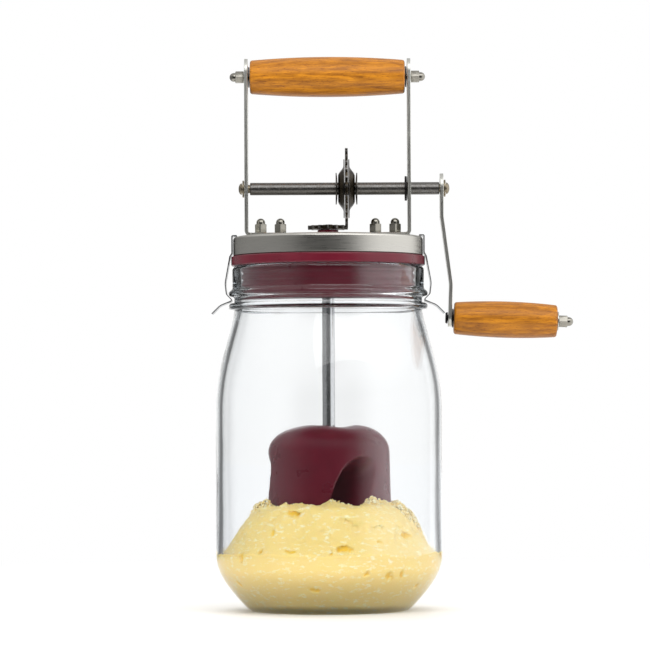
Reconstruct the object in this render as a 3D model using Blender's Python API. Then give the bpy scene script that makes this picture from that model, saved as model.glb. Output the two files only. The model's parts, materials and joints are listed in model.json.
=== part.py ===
# Hand cranked butter churn: a glass jar, a steel lid with its silicone seal, a bracket
# frame with a turned handle, a crank whose toothed disc drives a toothed pinion at right
# angles, and a three vane paddle on the driven shaft.
# Metres, +Z up. The origin is the middle of the jar's base. The crank is on the +X side.

import bpy
import bmesh
from math import atan2
from math import cos
from math import hypot
from math import pi
from math import radians
from math import sin
from math import sqrt
from mathutils import Vector

# Fits between pieces
seat_gap = 0.0003
bore_gap = 0.00015
cut_overrun = 0.002

# Glass jar
jar_height = 0.1639
jar_body_radius = 0.0540
jar_foot_radius = 0.0375
jar_neck_radius = 0.0459
jar_groove_inset = 0.0010
jar_throat_inset = 0.0008
jar_bead_stand = 0.0017
jar_neck_wall = 0.0040
jar_body_wall = 0.0032
jar_floor = 0.0052
jar_rim_round = 0.0018
bead_drop = 0.0127
bead_half_height = 0.0020
ring_below_bead = 0.0065
ring_half_height = 0.0015
throat_below_ring = 0.0025
shoulder_length = 0.0459
heel_height = 0.0270
heel_power = 0.92
shoulder_power = 1.2
ring_outline_shares = ((0.5, -1.0), (1.0, -0.5), (1.0, 0.5), (0.5, 1.0))
bead_outline_shares = ((0.5, -0.8), (1.0, -0.3), (1.0, 0.2))
groove_foot_share = 1.6
groove_top_share = 1.1
neck_foot_share = 1.2

# Silicone seal under the lid
flange_overhang = 0.0004
flange_thickness = 0.0046
plug_depth = 0.0160
seal_wall = 0.0046
flange_round = 0.0008
rib_count = 4
rib_depth = 0.0007
rib_crest_share = 0.45
rib_foot_share = 0.85

# Pressed steel lid
lid_setback = 0.0010
lid_sheet = 0.0007
skirt_height = 0.0090
lid_round = 0.0016

# Bracket frame
frame_setback = 0.0072
strip_width = 0.0130
strip_thickness = 0.0016
strip_bend_radius = 0.0020
foot_beyond_nut = 0.0048
upright_above_handle = 0.0088
handle_above_lid = 0.0767

# Top handle and its rod
handle_end_radius = 0.0081
handle_middle_radius = 0.0096
handle_edge_round = 0.0012
handle_washer_thickness = 0.0005
handle_washer_radius = 0.0050
rod_radius = 0.0015

# Acorn nuts, washers and screws
nut_across_flats = 0.0055
nut_hex_height = 0.0040
nut_height = 0.0068
nut_dome_radius = 0.00215
nut_bore_depth = 0.0042
nut_chamfer = 0.0004
nut_dome_shares = (0.0, 0.42, 0.80)
foot_nut_from_upright = 0.0060
foot_nut_spacing = 0.0094
screw_head_radius = 0.0027
screw_head_height = 0.0015
screw_crown_share = 0.70
grip_head_height = 0.0010

# Toothed discs
pinion_teeth = 14
pinion_tip_radius = 0.00975
pinion_thickness = 0.0018
drive_teeth = 28
drive_thickness = 0.0013
tooth_depth = 0.0021
mesh_depth_across = 0.0008
mesh_depth_down = 0.0009
tooth_root_share = 0.40
tooth_tip_share = 0.23

# Pressed shells and dished washers that clamp the drive disc
shell_radius = 0.0141
shell_dome_radius = 0.0112
shell_crown_radius = 0.0060
shell_crown_height = 0.0026
shell_sheet = 0.00045
dish_radius = 0.0076
dish_rise = 0.0004
dish_sheet = 0.0005

# Crank shaft
shaft_radius = 0.0030
shaft_neck_radius = 0.0020
shaft_neck_step = 0.0009
head_radius = 0.0028
head_height = 0.0016
head_shares = (0.45, 1.0)
head_washer_radius = 0.0041
head_washer_thickness = 0.0008
stop_washer_radius = 0.0059
stop_washer_thickness = 0.0010
arm_beyond_frame = 0.0147

# Crank arm
arm_thickness = 0.0016
arm_throw = 0.0621
arm_joggle = 0.0037
arm_top_half_width = 0.0071
arm_foot_half_width = 0.0042
arm_bend_radius = 0.0120
arm_upper_share = 0.22
arm_lower_share = 0.74
arm_lean = radians(2.0)

# Crank grip and its screw
grip_length = 0.0492
grip_end_radius = 0.0077
grip_middle_radius = 0.0087
grip_washer_radius = 0.0045
grip_washer_thickness = 0.0005
grip_run_gap = 0.0003

# Beater shaft, bush and collar
pinion_above_lid = 0.0036
beater_neck_radius = 0.0026
beater_tip = 0.0005
bush_radius = 0.0050
bush_neck_radius = 0.0040
bush_lower_radius = 0.0060
bush_lower_length = 0.0110
collar_radius = 0.0050
collar_thickness = 0.0016

# Paddle
paddle_radius = 0.0303
paddle_top_taper = 0.0014
paddle_height = 0.0693
paddle_floor_gap = 0.0137
paddle_vanes = 3
paddle_twist_rate = radians(710.0)
paddle_vane_sweep = radians(82.0)
paddle_first_edge = radians(-154.0)
vane_edge = 0.0020
scoop_radius = 0.0070
scoop_fade_above = 0.0035
scoop_fade_below = 0.0065
scoop_shares = (
    (1.0, -0.04),
    (0.62, -0.32),
    (0.25, -0.52),
    (0.0, -0.25),
    (0.06, 0.30),
    (0.35, 0.74),
    (0.78, 0.93),
)
paddle_hub_radius = 0.0045
paddle_crest_radius = 0.0125
paddle_shoulder_drop = 0.0128
paddle_dip = 0.0036
paddle_saddle_share = 0.09
paddle_foot_round = 0.0040
paddle_socket_depth = 0.0450

# Spring clips
clip_sheet = 0.00045
clip_width = 0.0150
clip_hook = 0.0024
clip_bend_radius = 0.0006
clip_bulge_stand = 0.0015
clip_bulge_above_bead = 0.0046
clip_bulge_radius = 0.0090
clip_waist_stand = 0.0009
clip_waist_drop = 0.0005
clip_waist_radius = 0.0015
clip_kink_drop = 0.0035
clip_tab_reach = 0.0098
clip_tab_drop = 0.0063
clip_tab_high_share = 0.60
clip_tab_low_share = 0.38
clip_tab_radius = 0.0060

# Facet counts of the round pieces
jar_facets = 36
handle_facets = 24
shaft_facets = 16
small_facets = 12
washer_facets = 12
shell_facets = 20

# Steps along the curves
jar_outside_steps = 5
jar_inside_steps = 4
rim_steps = 3
lip_steps = 2
round_steps = 2
handle_rings = 6
end_steps = 4
shell_steps = 3
sweep_steps = 4
dome_steps = 5
dip_steps = 2
foot_steps = 3
paddle_levels = 7
fade_steps = 4

# Angles and small distances shared by the shapes
sharp_angle = radians(35.0)
arc_angle = radians(24.0)
end_round_first = radians(20.0)
merge_distance = 0.000001
probe_step = 0.00001
x_axis_turn = (0.0, pi / 2, 0.0)
flat_turn = (0.0, 0.0, 0.0)

# Heights and places that follow from the sizes above
flange_bottom = jar_height + seat_gap
flange_top = flange_bottom + flange_thickness
skirt_bottom = flange_top + seat_gap
lid_top = skirt_bottom + skirt_height
lid_underside = lid_top - lid_sheet
flange_radius = jar_neck_radius + flange_overhang
lid_radius = flange_radius - lid_setback
jar_groove_radius = jar_neck_radius - jar_groove_inset
jar_throat_radius = jar_neck_radius - jar_throat_inset
jar_bead_radius = jar_neck_radius + jar_bead_stand
mouth_radius = jar_neck_radius - jar_neck_wall
bead_height = jar_height - bead_drop
ring_height = bead_height - ring_below_bead
throat_height = ring_height - throat_below_ring
frame_half = lid_radius - frame_setback
foot_nut_far = frame_half - foot_nut_from_upright
foot_nut_near = foot_nut_far - foot_nut_spacing
foot_end = foot_nut_near - foot_beyond_nut
frame_outer = frame_half + strip_thickness
handle_height = lid_top + handle_above_lid
foot_top = lid_top + seat_gap + strip_thickness
gear_ratio = drive_teeth / pinion_teeth
drive_tip_radius = pinion_tip_radius * gear_ratio
drive_plane = pinion_tip_radius - mesh_depth_across
pinion_bottom = lid_top + pinion_above_lid
pinion_middle = pinion_bottom + pinion_thickness / 2
crank_height = pinion_middle + drive_tip_radius - mesh_depth_down
arm_plane = frame_outer + arm_beyond_frame
pin_height = crank_height - arm_throw
pin_plane = arm_plane + arm_joggle
nut_corner_radius = nut_across_flats / sqrt(3)
paddle_bottom = jar_floor + paddle_floor_gap
paddle_top = paddle_bottom + paddle_height


# Scene, materials and placing


def clear_scene():
    for old in list(bpy.data.objects):
        bpy.data.objects.remove(old, do_unlink=True)


def material(name, colour, roughness, metallic, transmission=0.0):
    made = bpy.data.materials.new(name)
    made.use_nodes = True
    shader = made.node_tree.nodes["Principled BSDF"]
    shader.inputs["Base Color"].default_value = (*colour, 1.0)
    shader.inputs["Roughness"].default_value = roughness
    shader.inputs["Metallic"].default_value = metallic
    shader.inputs["Transmission Weight"].default_value = transmission
    made.diffuse_color = (*colour, 1.0)
    return made


def group(name, location, parent=None, turn=(0.0, 0.0, 0.0)):
    empty = bpy.data.objects.new(name, None)
    empty.location = location
    empty.rotation_euler = turn
    empty.parent = parent
    bpy.context.scene.collection.objects.link(empty)
    return empty


def finish(name, shape, finish_material, parent, place=(0.0, 0.0, 0.0), turn=(0.0, 0.0, 0.0)):
    bmesh.ops.recalc_face_normals(shape, faces=shape.faces)
    mesh = bpy.data.meshes.new(name)
    shape.to_mesh(mesh)
    shape.free()
    mesh.materials.append(finish_material)
    mesh.shade_smooth()
    mesh.set_sharp_from_angle(angle=sharp_angle)
    piece = bpy.data.objects.new(name, mesh)
    piece.location = place
    piece.rotation_euler = turn
    piece.parent = parent
    bpy.context.scene.collection.objects.link(piece)
    return piece


def cut(piece, shape, operation="DIFFERENCE"):
    bmesh.ops.recalc_face_normals(shape, faces=shape.faces)
    mesh = bpy.data.meshes.new(piece.name + "_cutter")
    shape.to_mesh(mesh)
    shape.free()
    cutter = bpy.data.objects.new(piece.name + "_cutter", mesh)
    cutter.location = piece.location
    cutter.rotation_euler = piece.rotation_euler
    cutter.parent = piece.parent
    cutter.hide_render = True
    cutter.display_type = "WIRE"
    bpy.context.scene.collection.objects.link(cutter)
    change = piece.modifiers.new("cut", "BOOLEAN")
    change.operation = operation
    change.solver = "EXACT"
    change.object = cutter


# Shapes


def turned(profile, facets, closed):
    """Spin a list of (radius, height) points about the local Z axis."""
    shape = bmesh.new()
    points = [shape.verts.new((radius, 0.0, height)) for radius, height in profile]
    edges = [shape.edges.new(pair) for pair in zip(points, points[1:])]
    if closed:
        edges.append(shape.edges.new((points[-1], points[0])))
    bmesh.ops.spin(
        shape,
        geom=points + edges,
        cent=(0.0, 0.0, 0.0),
        axis=(0.0, 0.0, 1.0),
        angle=2 * pi,
        steps=facets,
        use_merge=True,
    )
    bmesh.ops.remove_doubles(shape, verts=shape.verts, dist=merge_distance)
    return shape


def rod(radius, low, high, facets):
    return turned([(0.0, high), (radius, high), (radius, low), (0.0, low)], facets, False)


def washer(inner, outer, low, high, facets):
    corners = [(inner, high), (outer, high), (outer, low), (inner, low)]
    return turned(corners, facets, True)


def arc(centre, radius, start, end, steps):
    """Points (radius, height) along an arc, its angles measured from the radius direction."""
    angles = [start + (end - start) * i / steps for i in range(steps + 1)]
    return [(centre[0] + radius * cos(a), centre[1] + radius * sin(a)) for a in angles]


def ring_at(shape, points):
    return [shape.verts.new(point) for point in points]


def skin(rings):
    """Join rings of points with the same count, and close both ends."""
    shape = bmesh.new()
    made = [ring_at(shape, ring) for ring in rings]
    count = len(made[0])
    for low, high in zip(made, made[1:]):
        for i in range(count):
            j = (i + 1) % count
            shape.faces.new((low[i], low[j], high[j], high[i]))
    shape.faces.new(reversed(made[0]))
    shape.faces.new(made[-1])
    return shape


def circle(radius, height, count, start=0.0):
    angles = [start + 2 * pi * i / count for i in range(count)]
    return [(radius * cos(a), radius * sin(a), height) for a in angles]


def rounded_path(corners, bend_radii):
    """A line through corners in the XZ plane, with an arc of its own radius at each bend."""
    line = [Vector(corners[0])]
    for before, corner, after, radius in zip(corners, corners[1:], corners[2:], bend_radii):
        corner = Vector(corner)
        into = (corner - Vector(before)).normalized()
        out = (Vector(after) - corner).normalized()
        turn = into.angle(out)
        reach = radius * sin(turn / 2) / cos(turn / 2)
        start = corner - into * reach
        side = (out - into * into.dot(out)).normalized()
        steps = max(2, round(turn / arc_angle))
        for i in range(steps + 1):
            a = turn * i / steps
            line.append(start + into * radius * sin(a) + side * radius * (1 - cos(a)))
    line.append(Vector(corners[-1]))
    return line


def along(line, lengths, s):
    for i in range(len(line) - 2):
        if s <= lengths[i + 1]:
            break
    else:
        i = len(line) - 2
    share = (s - lengths[i]) / (lengths[i + 1] - lengths[i])
    direction = (line[i + 1] - line[i]).normalized()
    return line[i].lerp(line[i + 1], share), direction


def strip(line, half_width_start, half_width_end, thickness, round_start, round_end):
    """A flat strip bent along a line in the XZ plane, its ends round where asked."""
    lengths = [0.0]
    for a, b in zip(line, line[1:]):
        lengths.append(lengths[-1] + (b - a).length)
    total = lengths[-1]
    angles = [end_round_first + (pi / 2 - end_round_first) * i / end_steps for i in range(end_steps)]
    cap = [1 - cos(a) / cos(end_round_first) for a in angles]
    start_reach = half_width_start if round_start else 0.0
    end_reach = half_width_end if round_end else 0.0
    stations = [s for s in lengths if start_reach < s < total - end_reach]
    stations = [start_reach] + stations + [total - end_reach]
    if round_start:
        stations = [start_reach * share for share in cap] + stations
    if round_end:
        stations = stations + [total - end_reach * share for share in reversed(cap)]
    rings = []
    for s in stations:
        point, direction = along(line, lengths, s)
        before = along(line, lengths, max(0.0, s - probe_step))[1]
        after = along(line, lengths, min(total, s + probe_step))[1]
        middle = (before + after).normalized()
        normal = Vector((-middle.y, middle.x)) * thickness / 2
        half = half_width_start + (half_width_end - half_width_start) * s / total
        if s < start_reach:
            half = half * sqrt(1 - ((start_reach - s) / start_reach * cos(end_round_first)) ** 2)
        if s > total - end_reach:
            short = (s - total + end_reach) / end_reach
            half = half * sqrt(1 - (short * cos(end_round_first)) ** 2)
        out = point + normal
        back = point - normal
        rings.append(
            [
                (out.x, -half, out.y),
                (out.x, half, out.y),
                (back.x, half, back.y),
                (back.x, -half, back.y),
            ]
        )
    return skin(rings)


def add_rod(shape, radius, centre, axis, low, high, facets):
    """Add a round cutter to a shape, along X, Y or Z through a centre."""
    rings = []
    for height in (low, high):
        ring = []
        for x, y, z in circle(radius, height, facets):
            spot = {"X": (z, x, y), "Y": (y, z, x), "Z": (x, y, z)}[axis]
            ring.append(shape.verts.new(Vector(spot) + Vector(centre)))
        rings.append(ring)
    for i in range(facets):
        j = (i + 1) % facets
        shape.faces.new((rings[0][i], rings[0][j], rings[1][j], rings[1][i]))
    shape.faces.new(reversed(rings[0]))
    shape.faces.new(rings[1])


def barrel(length, end_radius, middle_radius, bore, edge_round, facets):
    """A turned wooden handle along local Z, from 0 to its length, with a bore right through."""
    outer = []
    steps = handle_rings
    for i in range(steps + 1):
        share = i / steps
        height = edge_round + (length - 2 * edge_round) * share
        swell = 1 - (2 * share - 1) ** 2
        outer.append((end_radius + (middle_radius - end_radius) * swell, height))
    foot = arc((end_radius - edge_round, edge_round), edge_round, -pi / 2, 0.0, round_steps)
    head = arc((end_radius - edge_round, length - edge_round), edge_round, 0.0, pi / 2, round_steps)
    profile = [(bore, 0.0)] + foot[:-1] + outer + head[1:] + [(bore, length)]
    return turned(profile, facets, True)


def acorn_nut():
    """A domed nut standing on local Z = 0, with a blind bore from below."""
    count = small_facets
    bore = rod_radius + bore_gap

    def hexagon(height, share):
        ring = []
        for i, (x, y, z) in enumerate(circle(1.0, height, count)):
            reach = nut_across_flats / 2 if i % 2 == 0 else nut_corner_radius
            ring.append((x * reach * share, y * reach * share, z))
        return ring

    rings = [circle(bore, nut_bore_depth, count), circle(bore, 0.0, count)]
    rings.append(hexagon(0.0, 1.0))
    rings.append(hexagon(nut_hex_height - nut_chamfer, 1.0))
    rings.append(circle(nut_across_flats / 2, nut_hex_height, count))
    rings.append(circle(nut_dome_radius, nut_hex_height, count))
    straight = nut_height - nut_hex_height - nut_dome_radius
    for share in nut_dome_shares:
        angle = share * pi / 2
        rise = nut_hex_height + straight + nut_dome_radius * sin(angle)
        rings.append(circle(nut_dome_radius * cos(angle), rise, count))
    return skin(rings)


def toothed_disc(teeth, tip_radius, bore, thickness, start):
    """A stamped disc across local Z, with a tooth at the start angle."""
    pitch = 2 * pi * tip_radius / teeth
    root_radius = tip_radius - tooth_depth
    corners = (
        (root_radius, -pitch * tooth_root_share / 2),
        (tip_radius, -pitch * tooth_tip_share / 2),
        (tip_radius, pitch * tooth_tip_share / 2),
        (root_radius, pitch * tooth_root_share / 2),
        (bore, 0.0),
    )
    shape = bmesh.new()
    sides = []
    for height in (-thickness / 2, thickness / 2):
        side = []
        for k in range(teeth):
            angle = start + 2 * pi * k / teeth
            tooth = []
            for reach, across in corners:
                x = reach * cos(angle) - across * sin(angle)
                y = reach * sin(angle) + across * cos(angle)
                tooth.append(shape.verts.new((x, y, height)))
            side.append(tooth)
        for tooth, following in zip(side, side[1:] + side[:1]):
            shape.faces.new(tooth[:4])
            shape.faces.new((tooth[3], tooth[4], tooth[0]))
            shape.faces.new((tooth[3], following[0], following[4], tooth[4]))
        sides.append(side)
    low, high = sides
    for k in range(teeth):
        following = (k + 1) % teeth
        for i in range(3):
            shape.faces.new((low[k][i], low[k][i + 1], high[k][i + 1], high[k][i]))
        shape.faces.new((low[k][3], low[following][0], high[following][0], high[k][3]))
        shape.faces.new((low[k][4], low[following][4], high[following][4], high[k][4]))
    return shape


# The jar


def eased(share, power):
    return sin(pi / 2 * share) ** power


def jar_wall_points(foot, body, throat, floor, heel, steps):
    """The wall from its foot up to the throat, as a heel, a straight body and a shoulder."""
    points = []
    shoulder_foot = throat_height - shoulder_length
    for i in range(steps + 1):
        share = i / steps
        radius = foot + (body - foot) * eased(share, heel_power)
        points.append((radius, floor + (heel - floor) * share))
    for i in range(steps + 1):
        share = 1 - i / steps
        radius = throat + (body - throat) * eased(share, shoulder_power)
        points.append((radius, throat_height - shoulder_length * share))
    assert shoulder_foot > heel, "the heel reaches the shoulder"
    return points


def glass_jar(glass):
    outer = [(0.0, 0.0)]
    outer += jar_wall_points(
        jar_foot_radius, jar_body_radius, jar_throat_radius, 0.0, heel_height, jar_outside_steps
    )
    rise = jar_bead_radius - jar_throat_radius
    for out, up in ring_outline_shares:
        outer.append((jar_throat_radius + rise * out, ring_height + ring_half_height * up))
    outer.append((jar_groove_radius, ring_height + ring_half_height * groove_foot_share))
    outer.append((jar_groove_radius, bead_height - bead_half_height * groove_top_share))
    for out, up in bead_outline_shares:
        outer.append((jar_throat_radius + rise * out, bead_height + bead_half_height * up))
    outer.append((jar_neck_radius, bead_height + bead_half_height * neck_foot_share))
    rim_centre = (jar_neck_radius - jar_rim_round, jar_height - jar_rim_round)
    outer += arc(rim_centre, jar_rim_round, 0.0, pi / 2, rim_steps)
    lip_centre = (mouth_radius + jar_rim_round / 2, jar_height - jar_rim_round / 2)
    inner = arc(lip_centre, jar_rim_round / 2, pi / 2, pi, lip_steps)
    inside = jar_wall_points(
        jar_foot_radius - jar_body_wall,
        jar_body_radius - jar_body_wall,
        mouth_radius,
        jar_floor,
        heel_height,
        jar_inside_steps,
    )
    inner += list(reversed(inside))
    inner.append((0.0, jar_floor))
    shape = turned(outer + inner, jar_facets, False)
    return finish("glass_jar", shape, glass, None)


# The lid, its seal and what is fixed to it


def lid_seal(silicone, body):
    crest = mouth_radius - seat_gap
    plug_bottom = flange_bottom - plug_depth
    inner = crest - seal_wall
    cap_radius = lid_radius - lid_sheet - seat_gap
    profile = [(inner, plug_bottom), (crest - rib_depth, plug_bottom)]
    pitch = (plug_depth - rib_depth) / rib_count
    for i in range(rib_count):
        low = plug_bottom + rib_depth + pitch * i
        profile.append((crest, low + pitch * rib_crest_share))
        profile.append((crest - rib_depth, low + pitch * rib_foot_share))
    profile += [
        (crest - rib_depth, flange_bottom),
        (flange_radius - flange_round, flange_bottom),
        (flange_radius, flange_bottom + flange_round),
        (flange_radius, flange_top - flange_round),
        (flange_radius - flange_round, flange_top),
        (cap_radius, flange_top),
        (cap_radius, lid_underside - seat_gap - lid_round),
        (cap_radius - lid_round, lid_underside - seat_gap),
        (inner, lid_underside - seat_gap),
    ]
    local = [(radius, height - flange_bottom) for radius, height in profile]
    return finish("lid_seal", turned(local, jar_facets, True), silicone, body)


def steel_lid(steel, body):
    lift = -flange_bottom
    corner = (lid_radius - lid_round, lid_top - lid_round + lift)
    outer = [(0.0, lid_top + lift)] + arc(corner, lid_round, pi / 2, 0.0, round_steps)
    outer.append((lid_radius, skirt_bottom + lift))
    inner = [(lid_radius - lid_sheet, skirt_bottom + lift)]
    inner += arc(corner, lid_round - lid_sheet, 0.0, pi / 2, round_steps)
    inner.append((0.0, lid_underside + lift))
    piece = finish("steel_lid", turned(outer + inner, jar_facets, False), steel, body)
    holes = bmesh.new()
    low = lid_underside + lift - cut_overrun
    high = lid_top + lift + cut_overrun
    add_rod(holes, bush_neck_radius + bore_gap, (0.0, 0.0, 0.0), "Z", low, high, shaft_facets)
    for side in (-1, 1):
        for reach in (foot_nut_near, foot_nut_far):
            spot = (side * reach, 0.0, 0.0)
            add_rod(holes, rod_radius + bore_gap, spot, "Z", low, high, small_facets)
    cut(piece, holes)
    return piece


def bracket(name, side, steel, body):
    lift = -flange_bottom
    middle = frame_half + strip_thickness / 2
    foot_middle = lid_top + seat_gap + strip_thickness / 2 + lift
    top = handle_height + upright_above_handle + lift
    corners = [
        (side * foot_end, foot_middle),
        (side * middle, foot_middle),
        (side * middle, top),
    ]
    line = rounded_path(corners, [strip_bend_radius])
    half = strip_width / 2
    shape = strip(line, half, half, strip_thickness, True, True)
    piece = finish(name, shape, steel, body)
    holes = bmesh.new()
    for reach in (foot_nut_near, foot_nut_far):
        low = lid_top + lift - cut_overrun
        high = foot_top + lift + cut_overrun
        add_rod(holes, rod_radius + bore_gap, (side * reach, 0.0, 0.0), "Z", low, high, small_facets)
    shaft_hole = shaft_radius if side > 0 else shaft_neck_radius
    for hole, height in ((shaft_hole, crank_height), (rod_radius, handle_height)):
        spot = (side * middle, 0.0, height + lift)
        reach = strip_thickness / 2 + cut_overrun
        add_rod(holes, hole + bore_gap, spot, "X", -reach, reach, shaft_facets)
    cut(piece, holes)
    return piece


def foot_fixings(steel, polished, body):
    lift = -flange_bottom
    names = {-1: "left", 1: "right"}
    for side in (-1, 1):
        for label, reach in (("inner", foot_nut_near), ("outer", foot_nut_far)):
            spot = (side * reach, 0.0, foot_top + seat_gap + lift)
            name = f"foot_nut_{names[side]}_{label}"
            finish(name, acorn_nut(), polished, body, spot)
            head_top = lid_underside - seat_gap
            tip = foot_top + nut_bore_depth
            profile = [
                (0.0, tip),
                (rod_radius, tip),
                (rod_radius, head_top),
                (screw_head_radius, head_top),
                (screw_head_radius, head_top - screw_head_height / 2),
                (screw_head_radius * screw_crown_share, head_top - screw_head_height),
                (0.0, head_top - screw_head_height),
            ]
            local = [(radius, height + lift) for radius, height in profile]
            name = f"foot_screw_{names[side]}_{label}"
            finish(name, turned(local, small_facets, False), steel, body, (side * reach, 0.0, 0.0))


def top_handle_set(wood, steel, polished, dark, body):
    lift = handle_height - flange_bottom
    gap = seat_gap + handle_washer_thickness + seat_gap
    length = 2 * frame_half - 2 * gap
    bore = rod_radius + bore_gap
    shape = barrel(length, handle_end_radius, handle_middle_radius, bore, handle_edge_round, handle_facets)
    finish("top_handle", shape, wood, body, (-length / 2, 0.0, lift), x_axis_turn)
    nut_face = frame_outer + seat_gap
    rod_end = nut_face + nut_bore_depth - seat_gap
    finish("handle_rod", rod(rod_radius, -rod_end, rod_end, small_facets), steel, body, (0.0, 0.0, lift), x_axis_turn)
    finish("handle_nut_right", acorn_nut(), polished, body, (nut_face, 0.0, lift), x_axis_turn)
    back_turn = (0.0, -pi / 2, 0.0)
    finish("handle_nut_left", acorn_nut(), polished, body, (-nut_face, 0.0, lift), back_turn)
    for name, middle in (("handle_washer_left", -frame_half), ("handle_washer_right", frame_half)):
        near = seat_gap if middle < 0 else -seat_gap - handle_washer_thickness
        shape = washer(bore, handle_washer_radius, near, near + handle_washer_thickness, washer_facets)
        finish(name, shape, dark, body, (middle, 0.0, lift), x_axis_turn)


def spring_clip(name, side, spring, body):
    """One bent strip: over the lid's edge, down the skirt, out round the bead, in under it."""
    lift = -flange_bottom
    sheet = clip_sheet
    skirt_face = lid_radius + seat_gap + sheet / 2
    flange_face = flange_radius + seat_gap + sheet / 2
    hook_height = lid_top + seat_gap + sheet / 2
    jog_top = skirt_bottom + 2 * clip_bend_radius
    jog_foot = flange_top - clip_bend_radius / 2
    kink_height = bead_height - clip_kink_drop
    kink_reach = jar_groove_radius + seat_gap + sheet
    tab_reach = kink_reach + clip_tab_reach
    corners = [
        (skirt_face - clip_hook, hook_height),
        (skirt_face, hook_height),
        (skirt_face, jog_top),
        (flange_face, jog_foot),
        (jar_bead_radius + clip_bulge_stand, bead_height + clip_bulge_above_bead),
        (jar_bead_radius + clip_waist_stand, bead_height - clip_waist_drop),
        (kink_reach, kink_height),
        (
            kink_reach + clip_tab_reach * clip_tab_high_share,
            kink_height - clip_tab_drop * clip_tab_low_share,
        ),
        (tab_reach, kink_height - clip_tab_drop),
    ]
    radii = [
        clip_bend_radius,
        clip_bend_radius,
        clip_bend_radius,
        clip_bulge_radius,
        clip_waist_radius,
        clip_bend_radius,
        clip_tab_radius,
    ]
    placed = [(side * reach, height + lift) for reach, height in corners]
    line = rounded_path(placed, radii)
    half = clip_width / 2
    return finish(name, strip(line, half, half, sheet, False, False), spring, body)


def shaft_bush(silicone, body):
    lift = -flange_bottom
    bore = shaft_radius + bore_gap
    top = pinion_bottom - seat_gap
    bottom = lid_underside - seat_gap - bush_lower_length
    profile = [
        (bore, bottom),
        (bush_lower_radius, bottom),
        (bush_lower_radius, lid_underside - seat_gap),
        (bush_neck_radius, lid_underside - seat_gap),
        (bush_neck_radius, lid_top + seat_gap),
        (bush_radius, lid_top + seat_gap),
        (bush_radius, top),
        (bore, top),
    ]
    local = [(radius, height + lift) for radius, height in profile]
    return finish("shaft_bush", turned(local, shaft_facets, True), silicone, body)


# The crank


def crank_shaft(steel, body):
    """The shaft along local Z, turned down at both ends and headed over its washers."""
    left_shoulder = -frame_half + shaft_neck_step
    right_shoulder = arm_plane - arm_thickness / 2 - seat_gap
    left_head = -frame_outer - seat_gap - head_washer_thickness - seat_gap
    right_head = arm_plane + arm_thickness / 2 + seat_gap + head_washer_thickness + seat_gap
    profile = [(0.0, left_head - head_height)]
    for share in head_shares:
        angle = share * pi / 2
        profile.append((head_radius * sin(angle), left_head - head_height * cos(angle)))
    profile += [
        (shaft_neck_radius, left_head),
        (shaft_neck_radius, left_shoulder),
        (shaft_radius, left_shoulder),
        (shaft_radius, right_shoulder),
        (shaft_neck_radius, right_shoulder),
        (shaft_neck_radius, right_head),
    ]
    for share in reversed(head_shares):
        angle = share * pi / 2
        profile.append((head_radius * sin(angle), right_head + head_height * cos(angle)))
    profile.append((0.0, right_head + head_height))
    return finish("crank_shaft", turned(profile, shaft_facets, False), steel, body, flat_turn, x_axis_turn)


def drive_disc_set(dark, body):
    """The toothed disc, pressed shells on both its faces and a dished washer on each shell."""
    bore = shaft_radius + bore_gap
    place = (drive_plane, 0.0, 0.0)
    disc = toothed_disc(drive_teeth, drive_tip_radius, bore, drive_thickness, 0.0)
    finish("drive_disc", disc, dark, body, place, x_axis_turn)
    face = drive_thickness / 2 + seat_gap
    inner = [(shell_radius, face)]
    outer = [(shell_radius, face + shell_sheet)]
    for i in range(shell_steps + 1):
        share = i / shell_steps
        radius = shell_dome_radius + (shell_crown_radius - shell_dome_radius) * share
        rise = shell_crown_height * (1 - cos(pi * share)) / 2
        inner.append((radius, face + rise))
        outer.append((radius, face + rise + shell_sheet))
    inner.append((bore, face + shell_crown_height))
    outer.append((bore, face + shell_crown_height + shell_sheet))
    loop = inner + list(reversed(outer))
    dish_face = face + shell_crown_height + shell_sheet + seat_gap
    dish = [
        (bore, dish_face),
        (dish_radius, dish_face + dish_rise),
        (dish_radius, dish_face + dish_rise + dish_sheet),
        (bore, dish_face + dish_sheet),
    ]
    for label, sign in (("left", -1), ("right", 1)):
        shell = turned([(radius, sign * height) for radius, height in loop], shell_facets, True)
        finish(f"hub_shell_{label}", shell, dark, body, place, x_axis_turn)
        plate = turned([(radius, sign * height) for radius, height in dish], shaft_facets, True)
        finish(f"hub_washer_{label}", plate, dark, body, place, x_axis_turn)


def crank_washers(steel, dark, body):
    bore = shaft_neck_radius + bore_gap
    left = -frame_outer - seat_gap - head_washer_thickness
    right = arm_plane + arm_thickness / 2 + seat_gap
    for name, low in (("head_washer_left", left), ("head_washer_right", right)):
        shape = washer(bore, head_washer_radius, low, low + head_washer_thickness, washer_facets)
        finish(name, shape, steel, body, flat_turn, x_axis_turn)
    high = frame_half - seat_gap
    bore = shaft_radius + bore_gap
    shape = washer(bore, stop_washer_radius, high - stop_washer_thickness, high, washer_facets)
    finish("stop_washer", shape, dark, body, flat_turn, x_axis_turn)


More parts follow.
